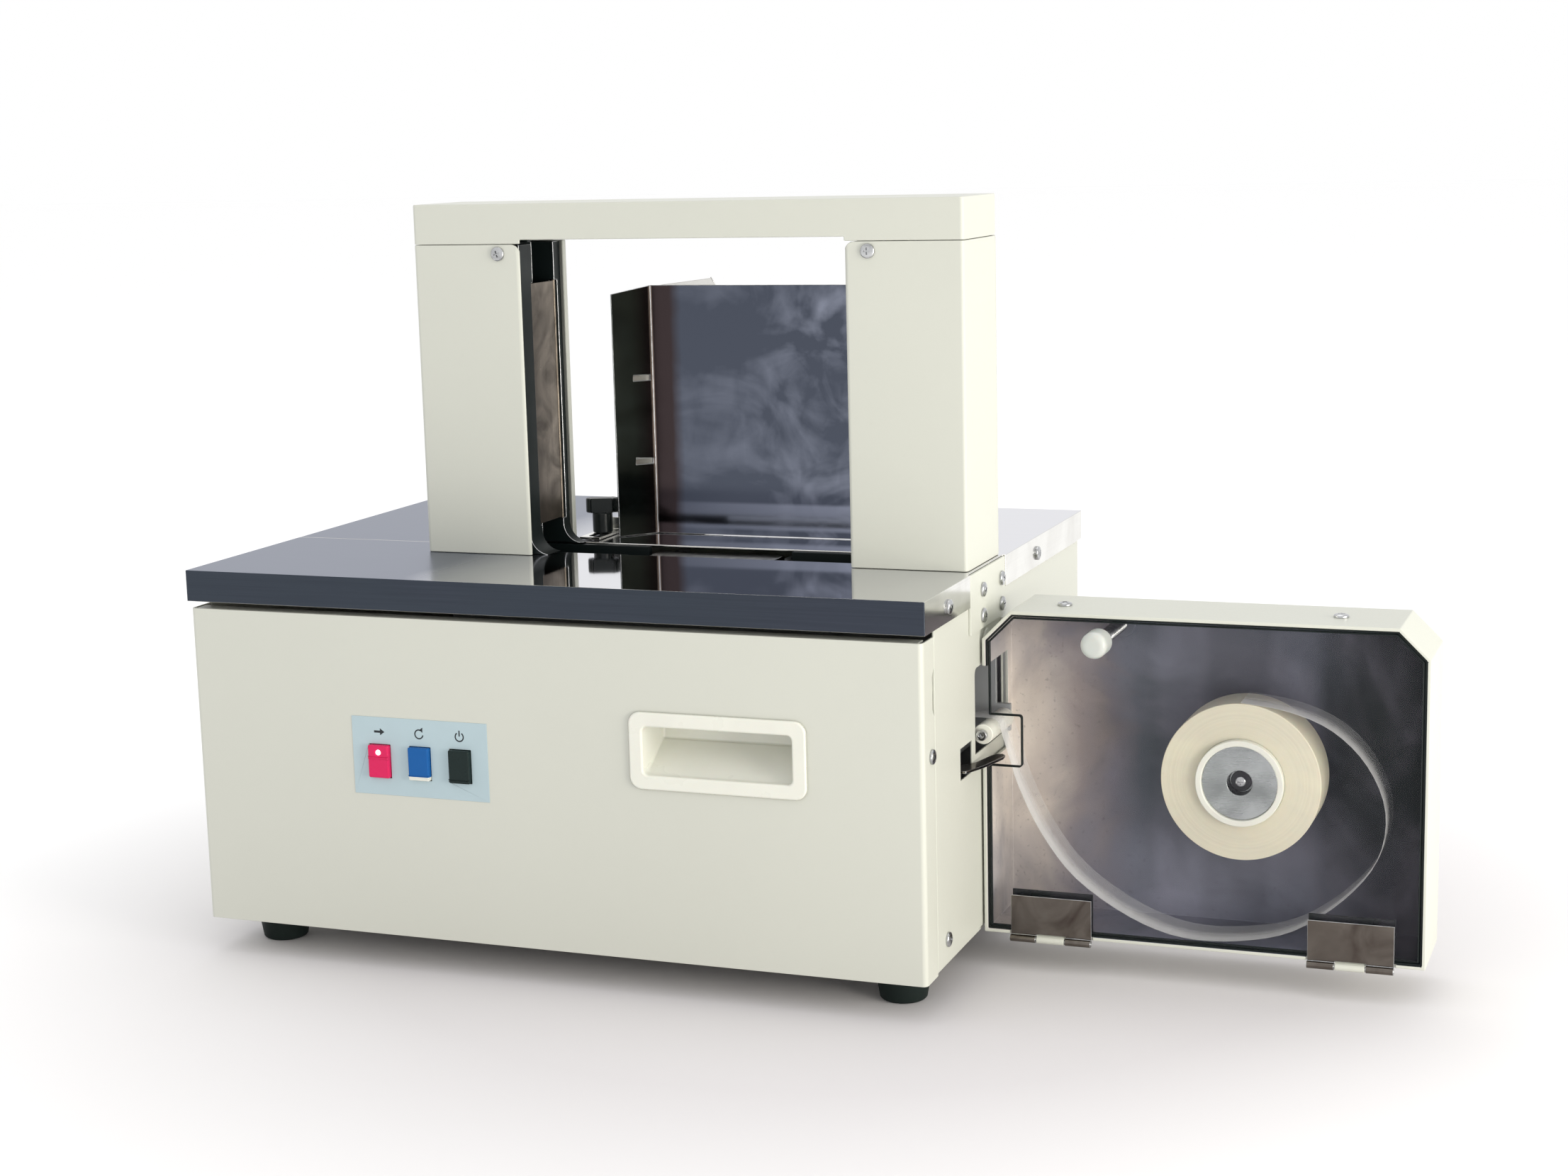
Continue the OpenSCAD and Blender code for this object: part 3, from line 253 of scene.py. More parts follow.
@dataclass(frozen=True)
class PowderCoat(Finish):
    """Satin powder coat: fine orange peel, faint drift of colour and a little dust."""

    roughness: float = 0.36
    peel_per_metre: float = 900.0
    drift: float = 0.05

    def make(self) -> Material:
        """Builds the material."""
        shader = Shader(self.name, {"Specular IOR Level": 0.45})
        colour = colour_of(self.code)
        cloud = shader.noise(9.0, 4.0)
        dust = shader.noise(320.0, 2.0)
        drifted = shader.mix(cloud, shade(colour, 1.0 - self.drift), colour)
        speck = shader.steps(dust, 0.68, 0.8, 0.0, 0.12)
        shader.feed("Base Color", shader.mix(speck, drifted, shade(colour, 0.82)))
        peel = shader.noise(self.peel_per_metre, 2.0)
        shader.feed("Roughness", shader.steps(peel * 0.5 + cloud * 0.5, 0.3, 0.7,
                                              self.roughness - 0.05, self.roughness + 0.08))
        shader.bump(peel, 0.00006, 0.35)
        return shader.material


@dataclass(frozen=True)
class Metal(Finish):
    """Bare metal: brushed along one axis, with hand smears that blur the reflection."""

    roughness: float
    grain: Axis = Axis.X
    grain_depth: float = 0.15
    smear_code: str = ""
    smear: float = 0.5
    smear_scale: float = 14.0
    edge_tint: float = 1.0

    def make(self) -> Material:
        """Builds the material."""
        tint = (self.edge_tint, self.edge_tint, self.edge_tint, 1.0)
        shader = Shader(self.name, {"Metallic": 1.0, "Specular Tint": tint})
        stretch = [70.0, 70.0, 70.0]
        stretch[self.grain.value] = 1.0
        lines = shader.noise(16.0, 3.0, tuple(stretch))
        cloud = shader.noise(self.smear_scale, 5.0, (1.0, 1.0, 1.0), 1.4)
        base = colour_of(self.code)
        stained = colour_of(self.smear_code) if self.smear_code else shade(base, 0.8)
        patch = shader.steps(cloud, 0.42, 0.72, 0.0, self.smear)
        smeared = shader.mix(patch, base, stained)
        shader.feed("Base Color", shader.mix(lines * 0.35, smeared, shade(base, 0.72)))
        shader.feed("Roughness", shader.steps(cloud * 0.6 + lines * 0.4, 0.3, 0.7,
                                              self.roughness * 0.7, self.roughness * 1.5))
        shader.bump(lines, 0.00003, self.grain_depth)
        return shader.material


@dataclass(frozen=True)
class WornWorktop(Finish):
    """Polished worktop steel: hazy and darker where packs slide, clear beside the arch."""

    hazy_code: str
    hazy_from: float = -0.21
    clear_from: float = -0.135
    edge_tint: float = 0.92

    def make(self) -> Material:
        """Builds the material."""
        tint = (self.edge_tint, self.edge_tint, self.edge_tint * 1.06, 1.0)
        shader = Shader(self.name, {"Metallic": 1.0, "Specular Tint": tint})
        cloud = shader.noise(5.0, 5.0, distortion=1.2)
        scratches = shader.noise(12.0, 3.0, (2.0, 90.0, 1.0))
        across = shader.along(Axis.X) + cloud * 0.04 - 0.02
        clear = shader.steps(across, self.hazy_from, self.clear_from)
        base = shader.mix(clear, colour_of(self.hazy_code), colour_of(self.code))
        shader.feed("Base Color", shader.mix(scratches * 0.08, base, shade(colour_of(self.hazy_code), 0.8)))
        shader.feed("Roughness", shader.steps(clear, 0.0, 1.0, 0.3, 0.035) + scratches * 0.02)
        shader.bump(scratches, 0.00002, 0.06)
        return shader.material


@dataclass(frozen=True)
class StainedMirror:
    """The backstop's dark mirror finish: brown by the fold, cloudy smears, a lighter band at the foot, and a
    painted highlight along the fold.
    """

    name: str
    fold_x: float
    foot_z: float
    dark_code: str = "3E3536"
    wing_code: str = "56615F"
    plain_code: str = "4C515D"
    smear_code: str = "959AAA"
    brown_width: float = 0.0185
    highlight_width: float = 0.0011
    span: float = 0.15
    band: Tuple[float, float] = (0.003, 0.021)

    def make(self) -> Material:
        """Builds the material."""
        shader = Shader(self.name, {"Metallic": 1.0, "Specular Tint": (0.7, 0.7, 0.74, 1.0)})
        across = shader.along(Axis.X) - self.fold_x
        height = shader.along(Axis.Z) - self.foot_z
        cloud = shader.noise(13.0, 6.0, (1.0, 1.0, 1.6), 1.8)
        fine = shader.noise(70.0, 4.0, (1.0, 1.0, 0.6), 0.8)
        centred = shader.steps(across, 0.03, 0.12, 0.3, 1.0)
        smear = shader.steps(cloud * 0.75 + fine * 0.25, 0.45, 0.7, 0.0, 0.75) * centred
        plain = shader.mix(smear, colour_of(self.plain_code), colour_of(self.smear_code))
        low, high = self.band
        in_band = shader.steps(height, low, low + 0.002) * shader.steps(height, high - 0.002, high, 1.0, 0.0)
        rightward = shader.steps(across, self.brown_width, self.span, 0.25, 1.0)
        banded = shader.mix(in_band * rightward * 0.8, plain, colour_of(self.smear_code))
        clear_of_fold = shader.steps(across + fine * 0.003, self.brown_width * 0.75, self.brown_width * 1.15)
        browned = shader.mix(clear_of_fold, colour_of(self.dark_code), banded)
        past_wing = shader.steps(across + fine * 0.002, -0.008, -0.001)
        folded = shader.mix(past_wing, colour_of(self.wing_code), browned)
        # Painted highlight: a thin bright line along the fold, where light glints on the bend.
        line = shader.steps(across * across, 0.0, self.highlight_width ** 2, 1.0, 0.0)
        shader.feed("Base Color", shader.mix(line, folded, colour_of("E9CFC4")))
        shader.feed("Roughness", shader.steps(smear, 0.0, 1.0, 0.1, 0.3))
        shader.bump(fine, 0.00004, 0.1)
        return shader.material


@dataclass(frozen=True)
class TrayInsidePaintedShade:
    """Inside of the dispenser's tray, painted with its light and shade: warm grey on the lit wall by the
    inlet, dark violet to near black shade towards the far side, with painted lighter patches and painted pane
    reflections.
    """

    name: str
    near_x: float
    far_x: float
    low_z: float
    height: float

    def make(self) -> Material:
        """Builds the material."""
        shader = Shader(self.name, {"Specular IOR Level": 0.12})
        width = self.far_x - self.near_x
        cloud = shader.noise(16.0, 6.0, distortion=1.6)
        share = (shader.along(Axis.X) - self.near_x) * (1.0 / width) + cloud * 0.16 - 0.08
        # Painted shade: a ramp from the lit warm grey near wall to near black at the far side.
        shade_ramp = shader.ramp(share, [(0.0, colour_of("E8DED4")), (0.95, colour_of("1B2422")),
                                   (0.08, colour_of("D2C6BC")), (0.15, colour_of("A0938D")),
                                   (0.24, colour_of("6F6A6E")), (0.3, colour_of("4D545B")),
                                   (0.5, colour_of("41454C")), (0.7, colour_of("383C43")),
                                   (0.84, colour_of("262D2D"))])
        # Painted light: lighter cloudy patches and lighter bands at the top and bottom.
        broad = shader.noise(9.0, 3.0, (1.0, 1.0, 0.7), 0.6)
        light = shader.steps(cloud * 0.4 + broad * 0.6, 0.46, 0.64, 0.0, 0.55)
        up = (shader.along(Axis.Z) - self.low_z) * (1.0 / self.height)
        lit_ends = shader.steps(up, 0.7, 0.92, 0.0, 0.4) + shader.steps(up, 0.3, 0.08, 0.0, 0.35)
        # Painted reflection: faint vertical pane stripes. All the lighter marks fade out towards the far
        # side.
        lit_near_side = shader.steps(share, 0.72, 0.92, 1.0, 0.1)
        pane_reflection = shader.steps((shader.along(Axis.X) * 96.0 + cloud * 1.2).wave(), -0.2, 0.5, 0.0, 0.2)
        lit_and_shaded = shader.mix((light * 0.8 + pane_reflection + lit_ends * (broad + 0.4)) * lit_near_side, shade_ramp, colour_of("7F8190"))
        speck = shader.steps(shader.noise(420.0, 2.0), 0.62, 0.72, 0.0, 0.25)
        shader.feed("Base Color", shader.mix(speck, lit_and_shaded, shade(colour_of("47454F"), 0.6)))
        shader.feed("Roughness", shader.steps(cloud, 0.3, 0.7, 0.35, 0.55))
        shader.bump(shader.noise(260.0, 2.0), 0.00003, 0.05)
        return shader.material


@dataclass(frozen=True)
class Moulding(Finish):
    """Moulded plastic or rubber: a fine spark-eroded grain and a soft sheen."""

    roughness: float
    grain_per_metre: float = 2600.0
    grain_depth: float = 0.25
    coat: float = 0.0
    subsurface: float = 0.0
    shine: float = 0.35
    wear: float = 0.12

    def make(self) -> Material:
        """Builds the material."""
        colour = colour_of(self.code)
        shader = Shader(self.name, {"Specular IOR Level": self.shine, "Coat Weight": self.coat,
                                    "Subsurface Weight": self.subsurface, "Subsurface Scale": 0.004})
        wear = shader.noise(45.0, 4.0)
        shader.feed("Base Color", shader.mix(shader.steps(wear, 0.45, 0.75, 0.0, self.wear), colour,
                                             shade(colour, 0.7)))
        grain = shader.noise(self.grain_per_metre, 1.0)
        shader.feed("Roughness", shader.steps(wear, 0.3, 0.7, self.roughness * 0.85, self.roughness * 1.15))
        shader.bump(grain, 0.00003, self.grain_depth)
        return shader.material


@dataclass(frozen=True)
class SmokedSheet(Finish):
    """Tinted acrylic sheet with wiped-over smudges in its gloss."""

    opacity: float
    roughness: float = 0.05

    def make(self) -> Material:
        """Builds the material."""
        shader = Shader(self.name, {"IOR": 1.49, "Specular IOR Level": 0.6})
        smudge = shader.noise(11.0, 5.0, distortion=2.2)
        tint = colour_of(self.code)
        haze = shader.steps(smudge, 0.4, 0.75)
        shader.feed("Base Color", shader.mix(haze, tint, shade(tint, 3.4)))
        shader.feed("Roughness", shader.steps(smudge, 0.35, 0.75, self.roughness, self.roughness + 0.16))
        shader.feed("Alpha", haze * 0.06 + self.opacity)
        return shader.material


@dataclass(frozen=True)
class TapeFilm(Finish):
    """Thin translucent banding film."""

    opacity: float
    front_y: float
    width: float

    def make(self) -> Material:
        """Builds the material."""
        shader = Shader(self.name, {"Roughness": 0.22, "IOR": 1.5})
        drift = shader.noise(30.0, 3.0)
        colour = colour_of(self.code)
        slant = shader.add("ShaderNodeLayerWeight", {}, {"Blend": 0.35}, "Facing")
        shader.feed("Base Color", shader.mix(drift, shade(colour, 0.88), colour))
        depth = shader.along(Axis.Y) - self.front_y
        front = shader.steps(depth, self.width * 0.2, self.width * 0.6, 1.0, 0.3)
        shader.feed("Alpha", (slant * 0.45 + drift * 0.15 + self.opacity) * front)
        return shader.material


@dataclass(frozen=True)
class WoundTape(Finish):
    """Edges of wound tape: fine turns round the roll's axis, a few standing proud."""

    centre_x: float
    centre_z: float
    turns_per_metre: float = 3300.0

    def make(self) -> Material:
        """Builds the material."""
        shader = Shader(self.name, {"Subsurface Weight": 0.15, "Subsurface Scale": 0.004})
        colour = colour_of(self.code)
        across = shader.along(Axis.X) - self.centre_x
        up = shader.along(Axis.Z) - self.centre_z
        radius = (across * across + up * up) ** 0.5
        turns = (radius * self.turns_per_metre * math.tau).wave() * 0.5 + 0.5
        bands = shader.add("ShaderNodeTexNoise", {"noise_dimensions": "1D"}, {"W": radius, "Scale": 700.0,
                                                                              "Detail": 4.0})
        fleck = shader.noise(180.0, 3.0)
        light = shader.mix(bands, shade(colour, 0.86), shade(colour, 1.03))
        shader.feed("Base Color", shader.mix(fleck * 0.25 + turns * 0.12, light, shade(colour, 0.8)))
        shader.feed("Roughness", shader.steps(bands, 0.3, 0.7, 0.42, 0.6))
        shader.bump(turns * 0.4 + bands, 0.00025, 0.5)
        return shader.material


@dataclass(frozen=True)
class LitLens(Finish):
    """A small lamp lens that glows in its middle."""

    strength: float

    def make(self) -> Material:
        """Builds the material."""
        shader = Shader(self.name, {"Roughness": 0.15, "Emission Strength": self.strength})
        glow = shader.noise(500.0, 1.0)
        colour = colour_of(self.code)
        shader.feed("Emission Color", shader.mix(glow, colour, (1.0, 1.0, 1.0, 1.0)))
        shader.feed("Base Color", shader.mix(glow, colour, shade(colour, 0.9)))
        return shader.material


@dataclass(frozen=True)
class CircuitBoard(Finish):
    """Solder-masked board with copper tracks under the mask."""

    def make(self) -> Material:
        """Builds the material."""
        shader = Shader(self.name, {"Coat Weight": 0.3})
        colour = colour_of(self.code)
        turned = shader.add("ShaderNodeMapping", {}, {"Vector": shader.place(),
                                                      "Rotation": (math.radians(90), 0.0, 0.0)})
        tracks = shader.add("ShaderNodeTexBrick", {"offset": 0.35, "squash": 2.0},
                            {"Vector": turned, "Scale": 60.0, "Mortar Size": 0.05}, "Fac")
        shader.feed("Base Color", shader.mix(tracks, colour, shade(colour, 2.2)))
        shader.feed("Roughness", shader.steps(tracks, 0.0, 1.0, 0.35, 0.25))
        shader.bump(tracks, 0.00004, 0.5)
        return shader.material


@dataclass(frozen=True)
class PaleFloor(Finish):
    """Plain studio floor with a painted soft lilac shadow round the machine."""

    shadow_code: str = "DCD9DB"
    shadow_radius: float = 0.3
    shadow_fade_radius: float = 0.68

    def make(self) -> Material:
        """Builds the material."""
        shader = Shader(self.name, {"Roughness": 0.9, "Specular IOR Level": 0.1})
        across = shader.along(Axis.X)
        deep = shader.along(Axis.Y)
        radius = (across * across + deep * deep) ** 0.5
        grain = shader.noise(2.0) * 0.02
        # Painted shadow: darker lilac near the machine, fading to white further out.
        share = shader.steps(radius + grain, self.shadow_radius, self.shadow_fade_radius)
        shader.feed("Base Color", shader.mix(share, colour_of(self.shadow_code), colour_of(self.code)))
        return shader.material


def made(finish: Finish) -> Material:
    """A field of Finishes that makes its material when the machine is built."""
    return field(default_factory=finish.make)


@dataclass
class Finishes:
    """Every finish of the machine, made once."""

    cream: Material = made(PowderCoat("cream_coat", "C8C9BF"))
    grey_coat: Material = made(PowderCoat("grey_coat", "9A9C9E", 0.45))
    motor_coat: Material = made(PowderCoat("motor_coat", "2B2D31", 0.4, 500.0))
    top: Material = made(WornWorktop("worktop_steel", "E6E6E1", "757C87"))
    # The front and side skirts are one steel: the front is painted dark as painted shade, the sides are
    # painted bright as painted light.
    skirt_shade: Material = made(Metal("skirt_front_painted_shade", "40464F", 0.42, Axis.X, 0.1, "4A4C5A", 0.5, 4.0))
    skirt_side_lit: Material = made(Metal("skirt_side_painted_light", "ECEBE7", 0.14, Axis.Y, 0.1, "B0ABA4", 0.45, 16.0))
    bright: Material = made(Metal("zinc_steel", "C6C7C8", 0.18, Axis.Z, 0.06, "5E6062", 0.6, 110.0))
    clip: Material = made(Metal("clip_steel", "767069", 0.16, Axis.X, 0.06, "3B2F2B", 0.9, 30.0, 0.8))
    spring: Material = made(Metal("gate_steel", "857B6F", 0.32, Axis.Z, 0.2, "4A433C", 0.8, 34.0))
    hub: Material = made(Metal("hub_aluminium", "B9BDBD", 0.24, Axis.X, 0.015, "4A504E", 0.75, 17.0))
    brass: Material = made(Metal("blade_brass", "C8A254", 0.28, Axis.Z, 0.2, "8A6A34", 0.6, 60.0))
    supply: Material = made(Metal("supply_aluminium", "B8B9BB", 0.4, Axis.Y, 0.2, "8E8F91", 0.5, 20.0))
    black: Material = made(Moulding("black_moulding", "141B1B", 0.42, shine=0.2))
    knob_black: Material = made(Moulding("knob_black", "121818", 0.3, 1800.0, 0.15, shine=0.3))
    white: Material = made(Moulding("white_moulding", "DDDDD3", 0.3, 1500.0, 0.05, 0.1, 0.05))
    knob_white: Material = made(Moulding("knob_white", "BCC0BC", 0.3, 1500.0, 0.05, 0.1, 0.15))
    red: Material = made(Moulding("red_cap", "D3215A", 0.25, 1500.0, 0.06, 0.0, 0.05, 0.2))
    blue: Material = made(Moulding("blue_cap", "17589A", 0.25, 1500.0, 0.06, 0.0, 0.0, 0.15))
    black_cap: Material = made(Moulding("black_cap", "1A2625", 0.3, 1500.0, 0.06, 0.0, 0.0, 0.15))
    lens: Material = made(LitLens("lamp_lens", "FFC9D2", 2.5))
    decal: Material = made(Moulding("decal_film", "AEC0C6", 0.4, 900.0, 0.05, shine=0.2))
    ink: Material = made(Moulding("decal_ink", "20262B", 0.5, 900.0, 0.05))
    rubber: Material = made(Moulding("foot_rubber", "18211F", 0.6, 1400.0, 0.6, shine=0.15))
    roller: Material = made(Moulding("roller_rubber", "26282A", 0.55, 1400.0, 0.5))
    smoked: Material = made(SmokedSheet("smoked_acrylic", "4A4650", 0.03))
    board: Material = made(CircuitBoard("board_mask", "1D5B34"))


# ---------------------------------------------------------------- making pieces
def body_of(node: str) -> str:
    """The body that a frame node belongs to."""
    bodies = frame["record"]["behaviour"]["bodies"]
    return next(body for body, nodes in bodies.items() if node in nodes)


def corners(node: str) -> Tuple[Vector, Vector]:
    """The lowest and the highest corner of a node's box."""
    low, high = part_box(node)
    return Vector(low), Vector(high)


def middle_of(node: str) -> Vector:
    """The middle of a node's box."""
    low, high = corners(node)
    return (low + high) / 2


def span_of(points: Sequence[Vector]) -> Tuple[Vector, Vector]:
    """The lowest and the highest corner round some points."""
    return (Vector([min(point[axis] for point in points) for axis in range(3)]),
            Vector([max(point[axis] for point in points) for axis in range(3)]))


def placed(name: str, mesh: Mesh, finishes: Sequence[Material], node: str, stands_for: bool) -> Piece:
    """Links a mesh as a piece that rides with a frame node.

    Args:
        name: The piece's name.
        mesh: Its mesh.
        finishes: Its material slots.
        node: The node whose body it rides on and whose slot it takes.
        stands_for: Whether it is shown in the node's place.

    Returns:
        The piece.
    """
    piece = bpy.data.objects.new(name, mesh)
    bpy.context.scene.collection.objects.link(piece)
    finished(mesh, finishes)
    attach(piece, body_of(node))
    if stands_for:
        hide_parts(node)
    LOG.info("%s on %s", name, body_of(node))
    return piece


def finished(mesh: Mesh, finishes: Sequence[Material]) -> Mesh:
    """Fills a mesh's material slots, unless it has them already."""
    if not mesh.materials:
        for finish in finishes:
            mesh.materials.append(finish)
    return mesh


def dress(node: str, finish: Material) -> None:
    """Gives a frame node that is shown as it is its finish."""
    mesh = frame["nodes"][node].data
    mesh.materials.clear()
    mesh.materials.append(finish)
    LOG.info("%s dressed", node)


def welded(node: str) -> bmesh.types.BMesh:
    """A node's surface with its seams welded and its flat faces joined."""
    work = bmesh.new()
    work.from_mesh(frame["nodes"][node].data)
    bmesh.ops.remove_doubles(work, verts=work.verts, dist=0.01 * MM)
    bmesh.ops.dissolve_limit(work, angle_limit=math.radians(0.8), verts=work.verts, edges=work.edges)
    return work


def mesh_from(name: str, work: bmesh.types.BMesh) -> Mesh:
    """Turns a working mesh into a finished one."""
    mesh = bpy.data.meshes.new(name)
    work.normal_update()
    work.to_mesh(mesh)
    work.free()
    return mesh


def shaded(mesh: Mesh, crease_deg: float = 36.0) -> Mesh:
    """Smooths a mesh except at its creases."""
    for face in mesh.polygons:
        face.use_smooth = True
    mesh.set_sharp_from_angle(angle=math.radians(crease_deg))
    return mesh


def modified(mesh: Mesh, steps: Sequence[Tuple[str, Dict[str, object]]]) -> Mesh:
    """Runs modifiers over a mesh.

    Args:
        mesh: The mesh to work on, which is dropped afterwards.
        steps: Modifier types with their settings, in order.

    Returns:
        The finished mesh.
    """
    holder = bpy.data.objects.new("holder", mesh)
    bpy.context.scene.collection.objects.link(holder)
    for kind, settings in steps:
        modifier = holder.modifiers.new(kind.lower(), kind)
        for name, value in settings.items():
            setattr(modifier, name, value)
    graph = bpy.context.evaluated_depsgraph_get()
    result = bpy.data.meshes.new_from_object(holder.evaluated_get(graph))
    bpy.data.objects.remove(holder)
    bpy.data.meshes.remove(mesh)
    return result


def softened(mesh: Mesh, width: float, segments: int = 3, edge_slot: int = -1,
             angle_deg: float = 40.0) -> Mesh:
    """Rounds the sharp edges of a mesh.

    Args:
        mesh: The mesh to work on.
        width: How far the rounding reaches from an edge.
        segments: Steps in the rounding.
        edge_slot: Material slot of the rounding, or -1 for that of the faces.
        angle_deg: Edges sharper than this are rounded.

    Returns:
        The rounded, smoothly shaded mesh.
    """
    bevel = {"width": width, "segments": segments, "limit_method": "ANGLE",
             "angle_limit": math.radians(angle_deg), "use_clamp_overlap": False, "material": edge_slot,
             "miter_outer": "MITER_ARC"}
    smooth = shaded(modified(mesh, [("BEVEL", bevel)]))
    return modified(smooth, [("WEIGHTED_NORMAL", {"keep_sharp": True, "weight": 60})])


def rounded(node: str, width_mm: float, finishes: Sequence[Material], edge_slot: int = -1,
            segments: int = 3, faces: Optional[Callable[[Vector, Vector], int]] = None) -> Piece:
    """A copy of a frame node with rounded edges, shown in its place.

    Args:
        node: The frame node.
        width_mm: Reach of the rounding.
        finishes: Material slots of the copy.
        edge_slot: Slot of the rounded edges, or -1.
        segments: Steps in the rounding.
        faces: Gives the slot of a face from its middle and its normal.

    Returns:
        The piece.
    """
    work = welded(node)
    if faces is not None:
        for face in work.faces:
            face.material_index = faces(face.calc_center_median(), face.normal)
    shape = finished(mesh_from(node + "_shape", work), finishes)
    mesh = softened(shape, width_mm * MM, segments, edge_slot)
    return placed(node + "_piece", mesh, finishes, node, True)


def round_each(*rows: Tuple[str, float, Material]) -> None:
    """Rounds nodes of one finish each, given as node, reach in millimetres and finish."""
    for node, width_mm, finish in rows:
        rounded(node, width_mm, [finish])


def lathe(profile: Points, steps: int = 40) -> Mesh:
    """A body of revolution about Z from (radius, height) points that end on the axis."""
    work = bmesh.new()
    verts = [work.verts.new((radius, 0.0, height)) for radius, height in profile]
    edges = [work.edges.new(pair) for pair in zip(verts, verts[1:])]
    bmesh.ops.spin(work, geom=verts + edges, cent=(0, 0, 0), axis=(0, 0, 1), angle=math.tau, steps=steps)
    bmesh.ops.remove_doubles(work, verts=work.verts, dist=0.002 * MM)
    bmesh.ops.recalc_face_normals(work, faces=work.faces)
    return mesh_from("lathe", work)


def block(low: Vector, high: Vector) -> Mesh:
    """A box between two corners."""
    work = bmesh.new()
    bmesh.ops.create_cube(work, size=1.0)
    size = high - low
    matrix = Matrix.Translation((low + high) / 2) @ Matrix.Diagonal((size.x, size.y, size.z, 1.0))
    bmesh.ops.transform(work, matrix=matrix, verts=work.verts)
    return mesh_from("block", work)


def tube(route: Sequence[Vector], radius: float, sides: int = 10) -> Mesh:
    """A closed tube along a route.

    Args:
        route: The points of its middle line.
        radius: Its outer radius.
        sides: Sides of its section.

    Returns:
        The mesh.
    """
    work = bmesh.new()
    rings = []
    across = Vector((0.0, 0.0, 1.0))
    last = len(route) - 1
    for index, point in enumerate(route):
        ahead = (route[min(index + 1, last)] - route[max(index - 1, 0)]).normalized()
        across = (across - ahead * across.dot(ahead)).normalized()
        other = ahead.cross(across)
        turns = [math.tau * side / sides for side in range(sides)]
        rings.append([work.verts.new(point + (across * math.cos(t) + other * math.sin(t)) * radius)
                      for t in turns])
    for first, second in zip(rings, rings[1:]):
        for side in range(sides):
            after = (side + 1) % sides
            work.faces.new((first[side], first[after], second[after], second[side]))
    work.faces.new(rings[0])
    work.faces.new(list(reversed(rings[-1])))
    bmesh.ops.recalc_face_normals(work, faces=work.faces)
    return mesh_from("tube", work)


def joined(name: str, parts: Sequence[Tuple[Mesh, Matrix]]) -> Mesh:
    """One mesh from several copies, each with its own placing."""
    work = bmesh.new()
    for mesh, matrix in parts:
        before = len(work.verts)
        work.from_mesh(mesh)
        work.verts.ensure_lookup_table()
        bmesh.ops.transform(work, matrix=matrix, verts=work.verts[before:])
    return mesh_from(name, work)


def extruded(outline: Points, plane_y: float, depth: float) -> Mesh:
    """A flat shape drawn in X and Z at one depth, and thickened towards the rear."""
    work = bmesh.new()
    face = work.faces.new([work.verts.new((x, plane_y, z)) for x, z in outline])
    rear = bmesh.ops.extrude_face_region(work, geom=[face])["geom"]
    moved = [item for item in rear if isinstance(item, bmesh.types.BMVert)]
    bmesh.ops.translate(work, vec=(0.0, depth, 0.0), verts=moved)
    bmesh.ops.recalc_face_normals(work, faces=work.faces)
    return mesh_from("extruded", work)


def cut_with(mesh: Mesh, cutter: Mesh) -> Mesh:
    """Takes a cutter's shape out of a mesh."""
    tool = bpy.data.objects.new("cutter", cutter)
    bpy.context.scene.collection.objects.link(tool)
    result = modified(mesh, [("BOOLEAN", {"object": tool, "operation": "DIFFERENCE", "solver": "EXACT"})])
    bpy.data.objects.remove(tool)
    return result


def towards(direction: Vector) -> Matrix:
    """The turn that takes +Z to a direction."""
    return Vector((0.0, 0.0, 1.0)).rotation_difference(direction).to_matrix().to_4x4()


def islands_of(node: str) -> List[List[Vector]]:
    """The points of each separate solid in a node."""
    work = welded(node)
    left = set(work.verts)
    groups = []
    while left:
        queue = [left.pop()]
        group = []
        while queue:
            vert = queue.pop()
            group.append(vert.co.copy())
            for edge in vert.link_edges:
                other = edge.other_vert(vert)
                if other in left:
                    left.remove(other)
                    queue.append(other)
        groups.append(group)
    work.free()
    return groups


